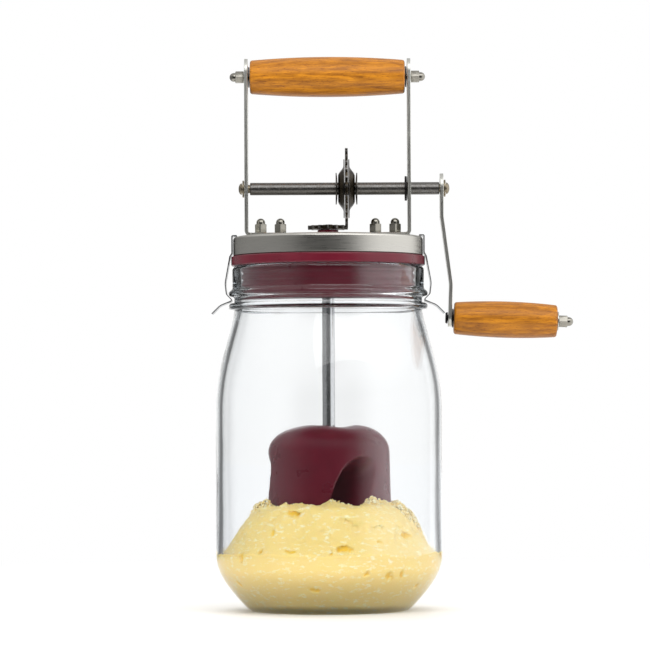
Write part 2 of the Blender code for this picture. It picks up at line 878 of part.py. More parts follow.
def crank_arm(steel, body):
    """A joggled strip from above the shaft down past the grip's screw."""
    upper = arm_throw * arm_upper_share
    lower = arm_throw * arm_lower_share
    below = arm_throw - lower + arm_foot_half_width
    lean = sin(arm_lean) / cos(arm_lean)
    knee = pin_plane + (arm_throw - lower) * lean
    corners = [
        (arm_plane, arm_top_half_width),
        (arm_plane, -upper),
        (knee, -lower),
        (knee - below * lean, -lower - below),
    ]
    line = rounded_path(corners, [arm_bend_radius, arm_bend_radius])
    shape = strip(line, arm_top_half_width, arm_foot_half_width, arm_thickness, True, True)
    piece = finish("crank_arm", shape, steel, body)
    holes = bmesh.new()
    reach = arm_thickness / 2 + cut_overrun
    spot = (arm_plane, 0.0, 0.0)
    add_rod(holes, shaft_neck_radius + bore_gap, spot, "X", -reach, reach, shaft_facets)
    cut(piece, holes)
    pin_hole = bmesh.new()
    add_rod(pin_hole, rod_radius + bore_gap, flat_turn, "Z", -reach, reach, small_facets)
    pin_axis = Vector((cos(arm_lean), 0.0, -sin(arm_lean)))
    spin = Vector((0.0, 0.0, 1.0)).rotation_difference(pin_axis).to_matrix()
    bmesh.ops.rotate(pin_hole, verts=pin_hole.verts, cent=flat_turn, matrix=spin)
    bmesh.ops.translate(pin_hole, verts=pin_hole.verts, vec=(pin_plane, 0.0, -arm_throw))
    cut(piece, pin_hole)
    return piece


def grip_set(wood, steel, polished, dark, crank_body, grip_body):
    """The screw, its washers and nut stay with the arm; the wooden grip turns on the screw."""
    bore = rod_radius + bore_gap
    arm_face = arm_thickness / 2 + seat_gap
    grip_start = arm_face + grip_washer_thickness + grip_run_gap
    grip_end = grip_start + grip_length
    outer_washer = grip_end + grip_run_gap
    nut_face = outer_washer + grip_washer_thickness + seat_gap
    shape = barrel(grip_length, grip_end_radius, grip_middle_radius, bore, handle_edge_round, handle_facets)
    finish("crank_grip", shape, wood, grip_body, (0.0, 0.0, grip_start))
    head_face = -arm_face
    profile = [
        (0.0, head_face - grip_head_height),
        (screw_head_radius, head_face - grip_head_height),
        (screw_head_radius, head_face),
        (rod_radius, head_face),
        (rod_radius, nut_face + nut_bore_depth - seat_gap),
        (0.0, nut_face + nut_bore_depth - seat_gap),
    ]
    finish("grip_screw", turned(profile, small_facets, False), dark, crank_body)
    shape = washer(bore, grip_washer_radius, arm_face, arm_face + grip_washer_thickness, washer_facets)
    finish("grip_washer_inner", shape, dark, crank_body)
    high = outer_washer + grip_washer_thickness
    shape = washer(bore, grip_washer_radius, outer_washer, high, washer_facets)
    finish("grip_washer_outer", shape, steel, crank_body)
    finish("grip_nut", acorn_nut(), polished, crank_body, (0.0, 0.0, nut_face))


# The beater


def beater_shaft(bright, body):
    lift = -pinion_bottom
    shoulder = pinion_bottom - seat_gap
    top = pinion_bottom + pinion_thickness + beater_tip
    bottom = paddle_top - paddle_dip - paddle_socket_depth + seat_gap
    profile = [
        (0.0, top),
        (beater_neck_radius, top),
        (beater_neck_radius, shoulder),
        (shaft_radius, shoulder),
        (shaft_radius, bottom),
        (0.0, bottom),
    ]
    local = [(radius, height + lift) for radius, height in profile]
    return finish("beater_shaft", turned(local, shaft_facets, False), bright, body)


def pinion(dark, body):
    bore = beater_neck_radius + bore_gap
    start = pi / pinion_teeth
    shape = toothed_disc(pinion_teeth, pinion_tip_radius, bore, pinion_thickness, start)
    place = (0.0, 0.0, pinion_middle - pinion_bottom)
    return finish("pinion", shape, dark, body, place)


def shaft_collar(steel, body):
    high = lid_underside - seat_gap - bush_lower_length - seat_gap - pinion_bottom
    bore = shaft_radius + bore_gap
    shape = washer(bore, collar_radius, high - collar_thickness, high, washer_facets)
    return finish("shaft_collar", shape, steel, body)


def lobe_section(reach, depth):
    """One section of the paddle: at depth 1 each lobe has its whole scoop, at 0 it is round."""
    points = []
    step = 2 * pi / paddle_vanes
    lip = paddle_radius - vane_edge
    count = len(scoop_shares) + 1
    for k in range(paddle_vanes):
        first = k * step
        polar = [(reach, paddle_vane_sweep * i / sweep_steps) for i in range(sweep_steps + 1)]
        for i, (out, across) in enumerate(scoop_shares, 1):
            radius = scoop_radius + (lip - scoop_radius) * out
            share = i / count + (across - i / count) * depth
            angle = paddle_vane_sweep + (step - paddle_vane_sweep) * share
            polar.append((reach + (radius - reach) * depth, angle))
        points += [(radius * cos(first + a), radius * sin(first + a)) for radius, a in polar]
    return points


def sink_valleys(dome, shoulder):
    """Lower the dome between the lobes, so that each lobe has a crest of its own."""
    middle = paddle_first_edge + paddle_vane_sweep / 2
    for point in dome.verts:
        if point.co.z > shoulder:
            angle = atan2(point.co.y, point.co.x) - middle
            valley = (1 - cos(paddle_vanes * angle)) / 2
            reach = min(1.0, hypot(point.co.x, point.co.y) / paddle_crest_radius)
            drop = (point.co.z - shoulder) * paddle_saddle_share * valley * reach
            point.co.z = point.co.z - drop


def paddle(silicone, body):
    """Three lobes that twist up to the shoulder, where their scoops fade out under the dome."""
    lift = -pinion_bottom
    low = paddle_bottom - cut_overrun
    high = paddle_top + cut_overrun
    shoulder = paddle_top - paddle_shoulder_drop
    fade_low = shoulder - scoop_fade_below
    fade = scoop_fade_below + scoop_fade_above
    heights = [low + (fade_low - low) * i / paddle_levels for i in range(paddle_levels + 1)]
    heights += [fade_low + fade * i / fade_steps for i in range(1, fade_steps + 1)]
    rings = []
    for height in heights + [high]:
        turn = paddle_first_edge + paddle_twist_rate * (min(height, shoulder) - shoulder)
        faded = min(1.0, max(0.0, (height - fade_low) / fade))
        ring = []
        for x, y in lobe_section(paddle_radius + cut_overrun, (1 + cos(pi * faded)) / 2):
            ring.append((x * cos(turn) - y * sin(turn), x * sin(turn) + y * cos(turn), height + lift))
        rings.append(ring)
    piece = finish("paddle", skin(rings), silicone, body)
    top_radius = paddle_radius - paddle_top_taper
    foot_centre = (paddle_radius - paddle_foot_round, paddle_bottom + paddle_foot_round)
    profile = [(0.0, paddle_bottom)]
    profile += arc(foot_centre, paddle_foot_round, -pi / 2, 0.0, foot_steps)
    profile.append((top_radius, shoulder))
    for i in range(1, dome_steps + 1):
        angle = pi / 2 * i / dome_steps
        radius = paddle_crest_radius + (top_radius - paddle_crest_radius) * cos(angle)
        profile.append((radius, shoulder + paddle_shoulder_drop * sin(angle)))
    for i in range(1, dip_steps + 1):
        share = i / dip_steps
        dip = paddle_dip * (1 - cos(pi * share)) / 2
        radius = paddle_crest_radius + (paddle_hub_radius - paddle_crest_radius) * share
        profile.append((radius, paddle_top - dip))
    profile.append((0.0, paddle_top - paddle_dip))
    local = [(radius, height + lift) for radius, height in profile]
    dome = turned(local, jar_facets, False)
    sink_valleys(dome, shoulder + lift + merge_distance)
    cut(piece, dome, "INTERSECT")
    socket = bmesh.new()
    socket_foot = paddle_top - paddle_dip - paddle_socket_depth + lift
    radius = shaft_radius + bore_gap
    add_rod(socket, radius, (0.0, 0.0, 0.0), "Z", socket_foot, high + lift, shaft_facets)
    cut(piece, socket)
    return piece


def build():
    clear_scene()
    glass = material("clear_glass", (0.80, 0.86, 0.85), 0.04, 0.0, 0.9)
    lid_steel = material("brushed_lid_steel", (0.55, 0.54, 0.52), 0.30, 1.0)
    strip_steel = material("satin_strip_steel", (0.47, 0.47, 0.44), 0.38, 1.0)
    dark_steel = material("dark_gear_steel", (0.20, 0.17, 0.14), 0.35, 1.0)
    black_steel = material("black_washer_steel", (0.05, 0.05, 0.05), 0.45, 1.0)
    bright_steel = material("bright_shaft_steel", (0.66, 0.66, 0.67), 0.20, 1.0)
    nut_steel = material("polished_nut_steel", (0.52, 0.50, 0.48), 0.15, 1.0)
    spring_steel = material("spring_clip_steel", (0.42, 0.44, 0.43), 0.30, 1.0)
    silicone = material("burgundy_silicone", (0.16, 0.02, 0.05), 0.45, 0.0)
    beech = material("oiled_beech", (0.55, 0.26, 0.08), 0.40, 0.0)

    lid_body = group("lid_body", (0.0, 0.0, flange_bottom))
    crank_body = group("crank_body", (0.0, 0.0, crank_height - flange_bottom), lid_body)
    pin_turn = (0.0, pi / 2 + arm_lean, 0.0)
    pin_place = (pin_plane, 0.0, -arm_throw)
    screw_body = group("grip_screw_body", pin_place, crank_body, pin_turn)
    grip_body = group("grip_body", pin_place, crank_body, pin_turn)
    beater_body = group("beater_body", (0.0, 0.0, pinion_bottom - flange_bottom), lid_body)

    glass_jar(glass)
    lid_seal(silicone, lid_body)
    steel_lid(lid_steel, lid_body)
    shaft_bush(silicone, lid_body)
    bracket("bracket_left", -1, strip_steel, lid_body)
    bracket("bracket_right", 1, strip_steel, lid_body)
    foot_fixings(strip_steel, nut_steel, lid_body)
    top_handle_set(beech, strip_steel, nut_steel, black_steel, lid_body)
    spring_clip("clip_left", -1, spring_steel, lid_body)
    spring_clip("clip_right", 1, spring_steel, lid_body)

    crank_shaft(dark_steel, crank_body)
    drive_disc_set(dark_steel, crank_body)
    crank_washers(strip_steel, black_steel, crank_body)
    crank_arm(strip_steel, crank_body)
    grip_set(beech, strip_steel, nut_steel, black_steel, screw_body, grip_body)

    beater_shaft(bright_steel, beater_body)
    pinion(dark_steel, beater_body)
    shaft_collar(strip_steel, beater_body)
    paddle(silicone, beater_body)


build()
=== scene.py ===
"""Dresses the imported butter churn: fine forms, real finishes, butter in the jar and a studio."""

import json
from math import atan2, cos, hypot, pi, radians, sin, sqrt

import bmesh
import bpy
from bpy.props import BoolProperty, FloatProperty, FloatVectorProperty, IntProperty, PointerProperty
from mathutils import Matrix, Vector, noise


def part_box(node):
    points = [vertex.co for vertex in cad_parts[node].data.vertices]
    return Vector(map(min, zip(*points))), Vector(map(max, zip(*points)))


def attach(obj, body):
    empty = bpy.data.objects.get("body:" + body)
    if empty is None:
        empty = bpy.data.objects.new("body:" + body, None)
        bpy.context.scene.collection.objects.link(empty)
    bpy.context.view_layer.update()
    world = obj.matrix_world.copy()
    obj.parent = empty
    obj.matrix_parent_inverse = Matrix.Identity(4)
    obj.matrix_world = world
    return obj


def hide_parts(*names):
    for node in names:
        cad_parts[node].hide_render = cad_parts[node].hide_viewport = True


bl_info = {
    "name": "Butter Churn",
    "version": (1, 0, 0),
    "blender": (4, 5, 0),
    "location": "View3D > Sidebar > Churn",
    "description": "Builds the visible pieces, finishes and studio of a hand cranked butter churn",
    "category": "Add Mesh",
}

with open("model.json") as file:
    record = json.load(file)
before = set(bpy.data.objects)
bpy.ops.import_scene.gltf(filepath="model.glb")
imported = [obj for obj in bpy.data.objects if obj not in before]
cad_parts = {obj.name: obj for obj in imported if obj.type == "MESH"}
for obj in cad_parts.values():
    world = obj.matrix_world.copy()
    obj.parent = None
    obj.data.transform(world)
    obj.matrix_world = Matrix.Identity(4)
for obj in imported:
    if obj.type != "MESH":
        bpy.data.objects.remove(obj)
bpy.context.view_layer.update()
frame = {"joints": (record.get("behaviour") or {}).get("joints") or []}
mm = 0.001
joints = {joint["name"]: joint for joint in frame["joints"]}


# Colours


def linear(hex_colour):
    """An sRGB hex value as the linear colour that shaders take."""
    values = []
    for i in (1, 3, 5):
        c = int(hex_colour[i : i + 2], 16) / 255
        values.append(c / 12.92 if c <= 0.04045 else ((c + 0.055) / 1.055) ** 2.4)
    return tuple(values)


def size(name, description, default):
    return FloatProperty(name=name, description=description, default=default, unit="LENGTH", precision=5)


def tint(name, description, hex_colour):
    return FloatVectorProperty(
        name=name, description=description, default=linear(hex_colour), subtype="COLOR",
        size=3, min=0.0, max=1.0,
    )


# Sizes and colours that a user would change


class ChurnSizes(bpy.types.PropertyGroup):
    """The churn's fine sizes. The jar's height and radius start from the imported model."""

    jar_height: size("Jar height", "Base to rim of the glass jar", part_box("glass_jar")[1][2])
    jar_radius: size("Jar radius", "Outside radius of the jar's straight body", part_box("glass_jar")[1][0])
    jar_foot: size("Jar foot radius", "Radius of the flat base", 0.0375)
    jar_neck: size("Neck radius", "Outside radius of the neck above the bead", 0.0459)
    jar_groove: size("Groove radius", "Radius between the bead and the ring", 0.0449)
    jar_bead: size("Bead radius", "Outside radius of the bead and the ring", 0.0476)
    jar_wall: size("Jar wall", "Thickness of the body's glass", 0.0032)
    jar_neck_wall: size("Neck wall", "Thickness of the glass in the neck", 0.0040)
    jar_floor: size("Jar floor", "Thickness of the glass in the base", 0.0052)
    lid_round: size("Lid corner", "Radius of the pressed lid's top corner", 0.0016)
    lid_sheet: size("Lid sheet", "Thickness of the lid's steel", 0.0007)
    strip_width: size("Strip width", "Width of the bracket strip", 0.0130)
    strip_sheet: size("Strip thickness", "Thickness of the bracket strip", 0.0016)
    strip_bend: size("Strip bend", "Middle radius of the brackets' bends", 0.0020)
    nut_flats: size("Nut across flats", "Acorn nuts across their flats", 0.0055)
    nut_hex: size("Nut hexagon", "Height of the acorn nuts' hexagon", 0.0040)
    nut_height: size("Nut height", "Whole height of the acorn nuts", 0.0068)
    nut_dome: size("Nut dome", "Radius of the acorn nuts' dome", 0.00215)
    rod_radius: size("Rod radius", "Radius of the tie rod and the screws", 0.0015)
    shaft_radius: size("Shaft radius", "Radius of the crank and beater shafts", 0.0030)
    edge_break: size("Edge break", "Width of the broken edges of stamped steel", 0.00018)
    clip_sheet: size("Clip sheet", "Thickness of the spring clips", 0.00045)
    paddle_radius: size("Paddle radius", "Sweep of the paddle's lobes", 0.0303)
    butter_side: size("Butter at the glass", "Height where the butter meets the jar's wall", 0.0275)
    butter_crest: size("Butter crest", "Height of the butter round the paddle", 0.0505)


class ChurnCounts(bpy.types.PropertyGroup):
    """What is counted, and what can be left out."""

    drive_teeth: IntProperty(name="Drive teeth", description="Teeth of the crank's disc", default=28, min=8)
    pinion_teeth: IntProperty(name="Pinion teeth", description="Teeth of its mate", default=14, min=6)
    crumbs: IntProperty(name="Crumbs", description="Loose crumbs on the butter", default=420, min=0)
    butter: BoolProperty(name="Butter", description="Show fresh butter in the jar", default=True)


class ChurnColours(bpy.types.PropertyGroup):
    """The finishes' colours."""

    glass: tint("Glass", "Body tint of the clear glass", "#FDFDFD")
    glass_depth: tint("Glass depth", "Faint grey blue that the glass shows edge on", "#C6D4DE")
    lid: tint("Lid steel", "Brushed stainless lid", "#C6C4BE")
    strip: tint("Strip steel", "Satin stainless strip of the frame and arm", "#D6D6D0")
    spring: tint("Spring steel", "Rolled spring strip of the clips", "#8A8C8E")
    nut: tint("Nut steel", "Polished acorn nuts", "#96938B")
    gear: tint("Gear steel", "Stamped, lightly oiled discs and crank shaft", "#494135")
    rivet: tint("Peened heads", "Warm worn ends of the crank shaft", "#8F8674")
    rod: tint("Bright rod", "Drawn rod of the beater", "#D2D3D5")
    # Also painted shade: the dark discs at the top handle's ends stand for the shadow in the gaps there
    black: tint("Blackened steel", "Dark washers and screw", "#1B1A1A")
    silicone: tint("Silicone", "Burgundy seal, bush and paddle", "#560B1E")
    beech: tint("Beech", "Oiled beech, light part of the grain", "#BE790A")
    beech_dark: tint("Beech grain", "Oiled beech, dark part of the grain", "#7C4806")
    beech_fleck: tint("Beech flecks", "Pores and flecks of the beech", "#8A5A20")
    butter: tint("Butter", "Fresh butter", "#F7DB8C")
    butter_whey: tint("Butter smears", "Paler smears and crumbs", "#FAF3D2")
    # Deeper yellow for random patches, and painted shade in the butter's pits
    butter_deep_and_pit_shade: tint("Butter hollows", "Deeper yellow in the butter's hollows", "#F6CB48")
    floor: tint("Floor", "Pale studio floor", "#E9E8E6")


# Nodes and materials


def node(tree, kind, inputs=None, **settings):
    """Adds a node, sets its own settings, and fills or links its inputs."""
    made = tree.nodes.new(kind)
    for key, value in settings.items():
        setattr(made, key, value)
    for key, value in (inputs or {}).items():
        if isinstance(value, bpy.types.NodeSocket):
            tree.links.new(value, made.inputs[key])
        else:
            made.inputs[key].default_value = value
    return made


def calc(tree, operation, a, b=None, clamp=False):
    """The result of one sum on one or two values."""
    inputs = {0: a} if b is None else {0: a, 1: b}
    return node(tree, "ShaderNodeMath", inputs, operation=operation, use_clamp=clamp).outputs["Value"]


def new_finish(name, **values):
    """A material with one Principled shader whose own sockets hold the plain values."""
    made = bpy.data.materials.new(name)
    made.use_nodes = True
    tree = made.node_tree
    shader = tree.nodes["Principled BSDF"]
    for key, value in values.items():
        shader.inputs[key.replace("_", " ")].default_value = value
    return made, tree, shader


def rgba(colour):
    return (*colour, 1.0)


def spread(tree, factor, low, high, start=0.0, end=1.0, kind="LINEAR"):
    """Maps a factor onto a range of values."""
    return node(
        tree,
        "ShaderNodeMapRange",
        {"Value": factor, "From Min": start, "From Max": end, "To Min": low, "To Max": high},
        interpolation_type=kind,
    ).outputs["Result"]


def two_tone(tree, factor, dark, light):
    mix = node(tree, "ShaderNodeMix", {"Factor": factor}, data_type="RGBA")
    mix.inputs["A"].default_value = rgba(dark)
    mix.inputs["B"].default_value = rgba(light)
    return mix.outputs["Result"]


def shade(colour, share):
    return tuple(c * share for c in colour)


def place_of(tree, scale=(1.0, 1.0, 1.0), turn=(0.0, 0.0, 0.0), centre=(0.0, 0.0, 0.0)):
    """Object coordinates, centred, turned and scaled for a pattern."""
    spot = node(tree, "ShaderNodeTexCoord").outputs["Object"]
    moved = node(tree, "ShaderNodeMapping", {"Vector": spot, "Location": tuple(-c for c in centre)})
    return node(
        tree, "ShaderNodeMapping", {"Vector": moved.outputs["Vector"], "Rotation": turn, "Scale": scale}
    ).outputs["Vector"]


def grain(tree, vector, per_metre, detail=3.0, roughness=0.5):
    return node(
        tree,
        "ShaderNodeTexNoise",
        {"Vector": vector, "Scale": per_metre, "Detail": detail, "Roughness": roughness},
    ).outputs["Fac"]


def bump(tree, height, depth, shader, strength=1.0):
    made = node(tree, "ShaderNodeBump", {"Height": height, "Distance": depth, "Strength": strength})
    tree.links.new(made.outputs["Normal"], shader.inputs["Normal"])


def clear_glass(colours):
    """Pressed soda-lime glass: colourless, polished by fire, so it only waves a little."""
    made, tree, shader = new_finish(
        "soda_lime_glass", Transmission_Weight=1.0, IOR=1.5, Roughness=0.0, Base_Color=rgba(colours.glass)
    )
    wave = grain(tree, place_of(tree, (1.0, 1.0, 0.6)), 45.0, 1.0)
    bump(tree, wave, 0.00012, shader)
    path = node(tree, "ShaderNodeLightPath").outputs["Is Shadow Ray"]
    clear = node(tree, "ShaderNodeBsdfTransparent", {"Color": (0.96, 0.97, 0.965, 1.0)})
    mix = node(tree, "ShaderNodeMixShader", {0: path, 1: shader.outputs["BSDF"], 2: clear.outputs["BSDF"]})
    tree.links.new(mix.outputs["Shader"], tree.nodes["Material Output"].inputs["Surface"])
    depth = node(tree, "ShaderNodeVolumeAbsorption", {"Color": rgba(colours.glass_depth), "Density": 34.0})
    tree.links.new(depth.outputs["Volume"], tree.nodes["Material Output"].inputs["Volume"])
    return made


def rolled_steel(name, colour, along, roughness, depth=0.000004, smear=0.08):
    """Stainless strip or sheet: fine lines about 0.3 mm apart that run one way."""
    made, tree, shader = new_finish(name, Metallic=1.0)
    lines = grain(tree, place_of(tree, along), 1.0 / (0.3 * mm), 2.0, 0.6)
    cloud = grain(tree, place_of(tree), 1.0 / (14 * mm), 3.0)
    tone = two_tone(tree, spread(tree, lines, 0.0, 1.0, 0.3, 0.7), shade(colour, 0.86), colour)
    tree.links.new(tone, shader.inputs["Base Color"])
    drawn = spread(tree, lines, roughness - smear, roughness + smear, 0.25, 0.75)
    rough = calc(tree, "ADD", drawn, spread(tree, cloud, -0.05, 0.05))
    tree.links.new(rough, shader.inputs["Roughness"])
    bump(tree, lines, depth, shader)
    return made


def spun_steel(name, colour):
    """The lid was polished as it spun, so its lines run round the axis, about 0.35 mm apart."""
    made, tree, shader = new_finish(name, Metallic=1.0, Anisotropic=0.7)
    spot = node(tree, "ShaderNodeTexCoord").outputs["Object"]
    parts = node(tree, "ShaderNodeSeparateXYZ", {"Vector": spot})
    across = node(tree, "ShaderNodeCombineXYZ", {"X": parts.outputs["X"], "Y": parts.outputs["Y"]})
    reach = node(tree, "ShaderNodeVectorMath", {0: across.outputs["Vector"]}, operation="LENGTH")
    turned = calc(tree, "ARCTAN2", parts.outputs["Y"], parts.outputs["X"])
    slow = calc(tree, "MULTIPLY", turned, 0.0015)
    around = {"X": reach.outputs["Value"], "Y": parts.outputs["Z"], "Z": slow}
    around = node(tree, "ShaderNodeCombineXYZ", around).outputs["Vector"]
    lines = grain(tree, around, 1.0 / (0.35 * mm), 2.0, 0.55)
    cloud = grain(tree, place_of(tree), 1.0 / (20 * mm), 3.0)
    tone = two_tone(tree, spread(tree, lines, 0.0, 1.0, 0.3, 0.7), shade(colour, 0.88), colour)
    tree.links.new(tone, shader.inputs["Base Color"])
    rough = calc(tree, "ADD", spread(tree, lines, 0.24, 0.40, 0.25, 0.75), spread(tree, cloud, -0.04, 0.04))
    tree.links.new(rough, shader.inputs["Roughness"])
    bump(tree, lines, 0.000005, shader)
    return made


def polished_steel(name, colour, roughness):
    """Machined and tumbled steel: bright, with faint smears about 2 mm long."""
    made, tree, shader = new_finish(name, Metallic=1.0, Base_Color=rgba(colour))
    smears = grain(tree, place_of(tree), 1.0 / (2.0 * mm), 4.0, 0.6)
    rough = spread(tree, smears, roughness * 0.6, roughness * 1.6, 0.3, 0.7)
    tree.links.new(rough, shader.inputs["Roughness"])
    bump(tree, smears, 0.000006, shader)
    return made


def oiled_gear_steel(name, colour, worn):
    """Dark stamped steel with a thin film of oil: brown clouds of about 3 mm, brighter where it wears."""
    made, tree, shader = new_finish(name, Metallic=1.0)
    clouds = grain(tree, place_of(tree), 1.0 / (3.0 * mm), 5.0, 0.6)
    scratches = grain(tree, place_of(tree, (1.0, 1.0, 0.25)), 1.0 / (0.4 * mm), 2.0, 0.6)
    edge = node(tree, "ShaderNodeNewGeometry").outputs["Pointiness"]
    wear = spread(tree, edge, 0.0, 0.8, 0.51, 0.60)
    rubbed = calc(tree, "MULTIPLY", wear, scratches, True)
    base = two_tone(tree, spread(tree, clouds, 0.0, 1.0, 0.3, 0.7), shade(colour, 0.62), colour)
    mix = node(tree, "ShaderNodeMix", {"Factor": rubbed}, data_type="RGBA")
    tree.links.new(base, mix.inputs["A"])
    mix.inputs["B"].default_value = rgba(worn)
    tree.links.new(mix.outputs["Result"], shader.inputs["Base Color"])
    tree.links.new(spread(tree, clouds, 0.24, 0.44, 0.3, 0.7), shader.inputs["Roughness"])
    bump(tree, scratches, 0.000008, shader)
    return made


def moulded_silicone(name, colour):
    """Burgundy silicone rubber: satin skin from a sparked mould, grain about 0.4 mm, faint clouds."""
    made, tree, shader = new_finish(name, Metallic=0.0, IOR=1.43, Sheen_Weight=0.04, Sheen_Roughness=0.4)
    skin = grain(tree, place_of(tree), 1.0 / (0.4 * mm), 3.0, 0.6)
    cloud = grain(tree, place_of(tree), 1.0 / (11 * mm), 4.0, 0.55)
    tone = two_tone(tree, spread(tree, cloud, 0.0, 1.0, 0.3, 0.7), shade(colour, 0.86), shade(colour, 1.12))
    tree.links.new(tone, shader.inputs["Base Color"])
    tree.links.new(spread(tree, cloud, 0.26, 0.34, 0.3, 0.7), shader.inputs["Roughness"])
    bump(tree, skin, 0.000003, shader)
    return made


def oiled_beech(name, light, dark, speck, centre, tilt):
    """Turned beech, oiled: grain along the handle 1 to 2 mm wide, pores and flecks under 1 mm long."""
    made, tree, shader = new_finish(name, Metallic=0.0, IOR=1.42, Coat_Weight=0.04, Coat_Roughness=0.25)
    turn = (0.0, tilt, 0.0)
    bands = place_of(tree, (0.10, 1.0, 1.0), turn, centre)
    warp = grain(tree, bands, 1.0 / (9 * mm), 3.0, 0.5)
    shifted = node(tree, "ShaderNodeVectorMath", {0: bands}, operation="ADD")
    tree.links.new(calc(tree, "MULTIPLY", warp, 5.0 * mm), shifted.inputs[1])
    year = grain(tree, shifted.outputs["Vector"], 1.0 / (1.6 * mm), 5.0, 0.62)
    fleck_place = place_of(tree, (0.22, 1.0, 1.0), turn, centre)
    flecks = node(
        tree, "ShaderNodeTexVoronoi", {"Vector": fleck_place, "Scale": 1.0 / (0.5 * mm), "Randomness": 1.0}
    ).outputs["Distance"]
    fleck = spread(tree, flecks, 1.0, 0.0, 0.05, 0.30)
    tone = two_tone(tree, spread(tree, year, 0.0, 1.0, 0.30, 0.70), dark, light)
    dots = node(tree, "ShaderNodeMix", data_type="RGBA", blend_type="MULTIPLY")
    fine = grain(tree, place_of(tree, (0.05, 1.0, 1.0), turn, centre), 1.0 / (0.45 * mm), 3.0, 0.6)
    fleck = calc(tree, "ADD", fleck, spread(tree, fine, 0.0, 0.9, 0.5, 0.7))
    tree.links.new(calc(tree, "MULTIPLY", fleck, 0.62, True), dots.inputs["Factor"])
    tree.links.new(tone, dots.inputs["A"])
    dots.inputs["B"].default_value = rgba(speck)
    tree.links.new(dots.outputs["Result"], shader.inputs["Base Color"])
    tree.links.new(spread(tree, year, 0.34, 0.46, 0.3, 0.7), shader.inputs["Roughness"])
    bump(tree, year, 0.00004, shader)
    return made


def black_oxide(name, colour):
    """Blackened washers, and dark discs as painted shade in the handle's end gaps: satin, with grey wear in
    patches of about 1 mm.
    """
    made, tree, shader = new_finish(name, Metallic=0.9)
    patches = grain(tree, place_of(tree), 1.0 / (1.0 * mm), 4.0, 0.6)
    tone = two_tone(tree, spread(tree, patches, 0.0, 1.0, 0.45, 0.8), colour, shade(colour, 4.0))
    tree.links.new(tone, shader.inputs["Base Color"])
    tree.links.new(spread(tree, patches, 0.35, 0.5, 0.3, 0.7), shader.inputs["Roughness"])
    bump(tree, patches, 0.00001, shader)
    return made


def fresh_butter(name, light, deep, whey):
    """Worked butter: soft and fatty, with a deeper yellow painted into its pits as shade and into random
    patches, folds of 2 to 6 mm and fine grain on top.
    """
    made, tree, shader = new_finish(
        name, Metallic=0.0, IOR=1.46, Subsurface_Weight=0.40, Coat_Weight=0.10, Coat_Roughness=0.3
    )
    shader.inputs["Subsurface Radius"].default_value = (1.0, 0.75, 0.30)
    shader.inputs["Subsurface Scale"].default_value = 2.5 * mm
    folds = grain(tree, place_of(tree), 1.0 / (6 * mm), 5.0, 0.6)
    specks = grain(tree, place_of(tree), 1.0 / (1.1 * mm), 3.0, 0.6)
    streaks = grain(tree, place_of(tree, (1.0, 1.0, 2.2)), 1.0 / (3.5 * mm), 5.0, 0.68)
    # Painted shade: the pits' mask, where a deeper yellow stands for the shade in them, joined below with
    # random fold patches
    pit_shade = node(tree, "ShaderNodeAttribute", attribute_name="painted_pit_shade").outputs["Fac"]
    patch = spread(tree, folds, 0.0, 0.25, 0.60, 0.78)
    sunk = calc(tree, "MAXIMUM", pit_shade, patch, True)
    pale = two_tone(tree, spread(tree, streaks, 0.0, 0.8, 0.54, 0.66), light, whey)
    mix = node(tree, "ShaderNodeMix", {"Factor": sunk}, data_type="RGBA")
    tree.links.new(pale, mix.inputs["A"])
    mix.inputs["B"].default_value = rgba(deep)
    tree.links.new(mix.outputs["Result"], shader.inputs["Base Color"])
    tree.links.new(spread(tree, specks, 0.38, 0.55, 0.3, 0.7), shader.inputs["Roughness"])
    bump(tree, calc(tree, "ADD", folds, specks), 0.00012, shader)
    return made


def dry_crumbs(name, light, deep):
    """Crumbs dry out at their surface: paler than the butter and matt, with clouds of about 2 mm."""
    made, tree, shader = new_finish(name, Metallic=0.0, IOR=1.46, Roughness=0.55)
    cloud = grain(tree, place_of(tree), 1.0 / (2.0 * mm), 3.0, 0.6)
    tone = two_tone(tree, spread(tree, cloud, 0.0, 1.0, 0.4, 0.6), deep, light)
    tree.links.new(tone, shader.inputs["Base Color"])
    bump(tree, cloud, 0.00005, shader)
    return made


finishes = {}


def finish_named(name):
    """Each finish is made once, the first time that a piece asks for it."""
    colours = bpy.context.scene.churn_colours
    wood = (colours.beech_dark, colours.beech_fleck)
    makers = {
        "glass": lambda: clear_glass(colours),
        "lid": lambda: spun_steel("spun_stainless_lid", colours.lid),
        "strip": lambda: rolled_steel("satin_stainless_strip", colours.strip, (1.0, 1.0, 0.03), 0.34),
        "spring": lambda: rolled_steel("rolled_spring_steel", colours.spring, (0.05, 1.0, 0.05), 0.26),
        "nut": lambda: polished_steel("tumbled_nut_steel", colours.nut, 0.16),
        "gear": lambda: oiled_gear_steel("oiled_gear_steel", colours.gear, shade(colours.rod, 0.8)),
        "rivet": lambda: polished_steel("peened_shaft_head", colours.rivet, 0.28),
        "rod": lambda: polished_steel("drawn_bright_rod", colours.rod, 0.14),
        "black": lambda: black_oxide("blackened_steel_and_gap_shade", colours.black),
        "silicone": lambda: moulded_silicone("moulded_burgundy_silicone", colours.silicone),
        "top_beech": lambda: oiled_beech("oiled_beech_top", colours.beech, *wood, (0.0, 0.0, 0.25), 0.0),
        "grip_beech": lambda: oiled_beech(
            "oiled_beech_grip", shade(colours.beech, 0.94), *wood, (0.08, 0.013, 0.14), radians(-2.0)
        ),
        "butter": lambda: fresh_butter(
            "fresh_butter", colours.butter, colours.butter_deep_and_pit_shade, colours.butter_whey
        ),
        "crumbs": lambda: dry_crumbs("butter_crumbs", colours.butter_whey, colours.butter),
    }
    if name not in finishes:
        finishes[name] = makers[name]()
    return finishes[name]


# Meshes


def along_x(origin=(0.0, 0.0, 0.0), direction=(1.0, 0.0, 0.0)):
    """The placing that turns local Z to a direction through a point."""
    turn = Vector((0.0, 0.0, 1.0)).rotation_difference(Vector(direction))
    return Matrix.Translation(origin) @ turn.to_matrix().to_4x4()


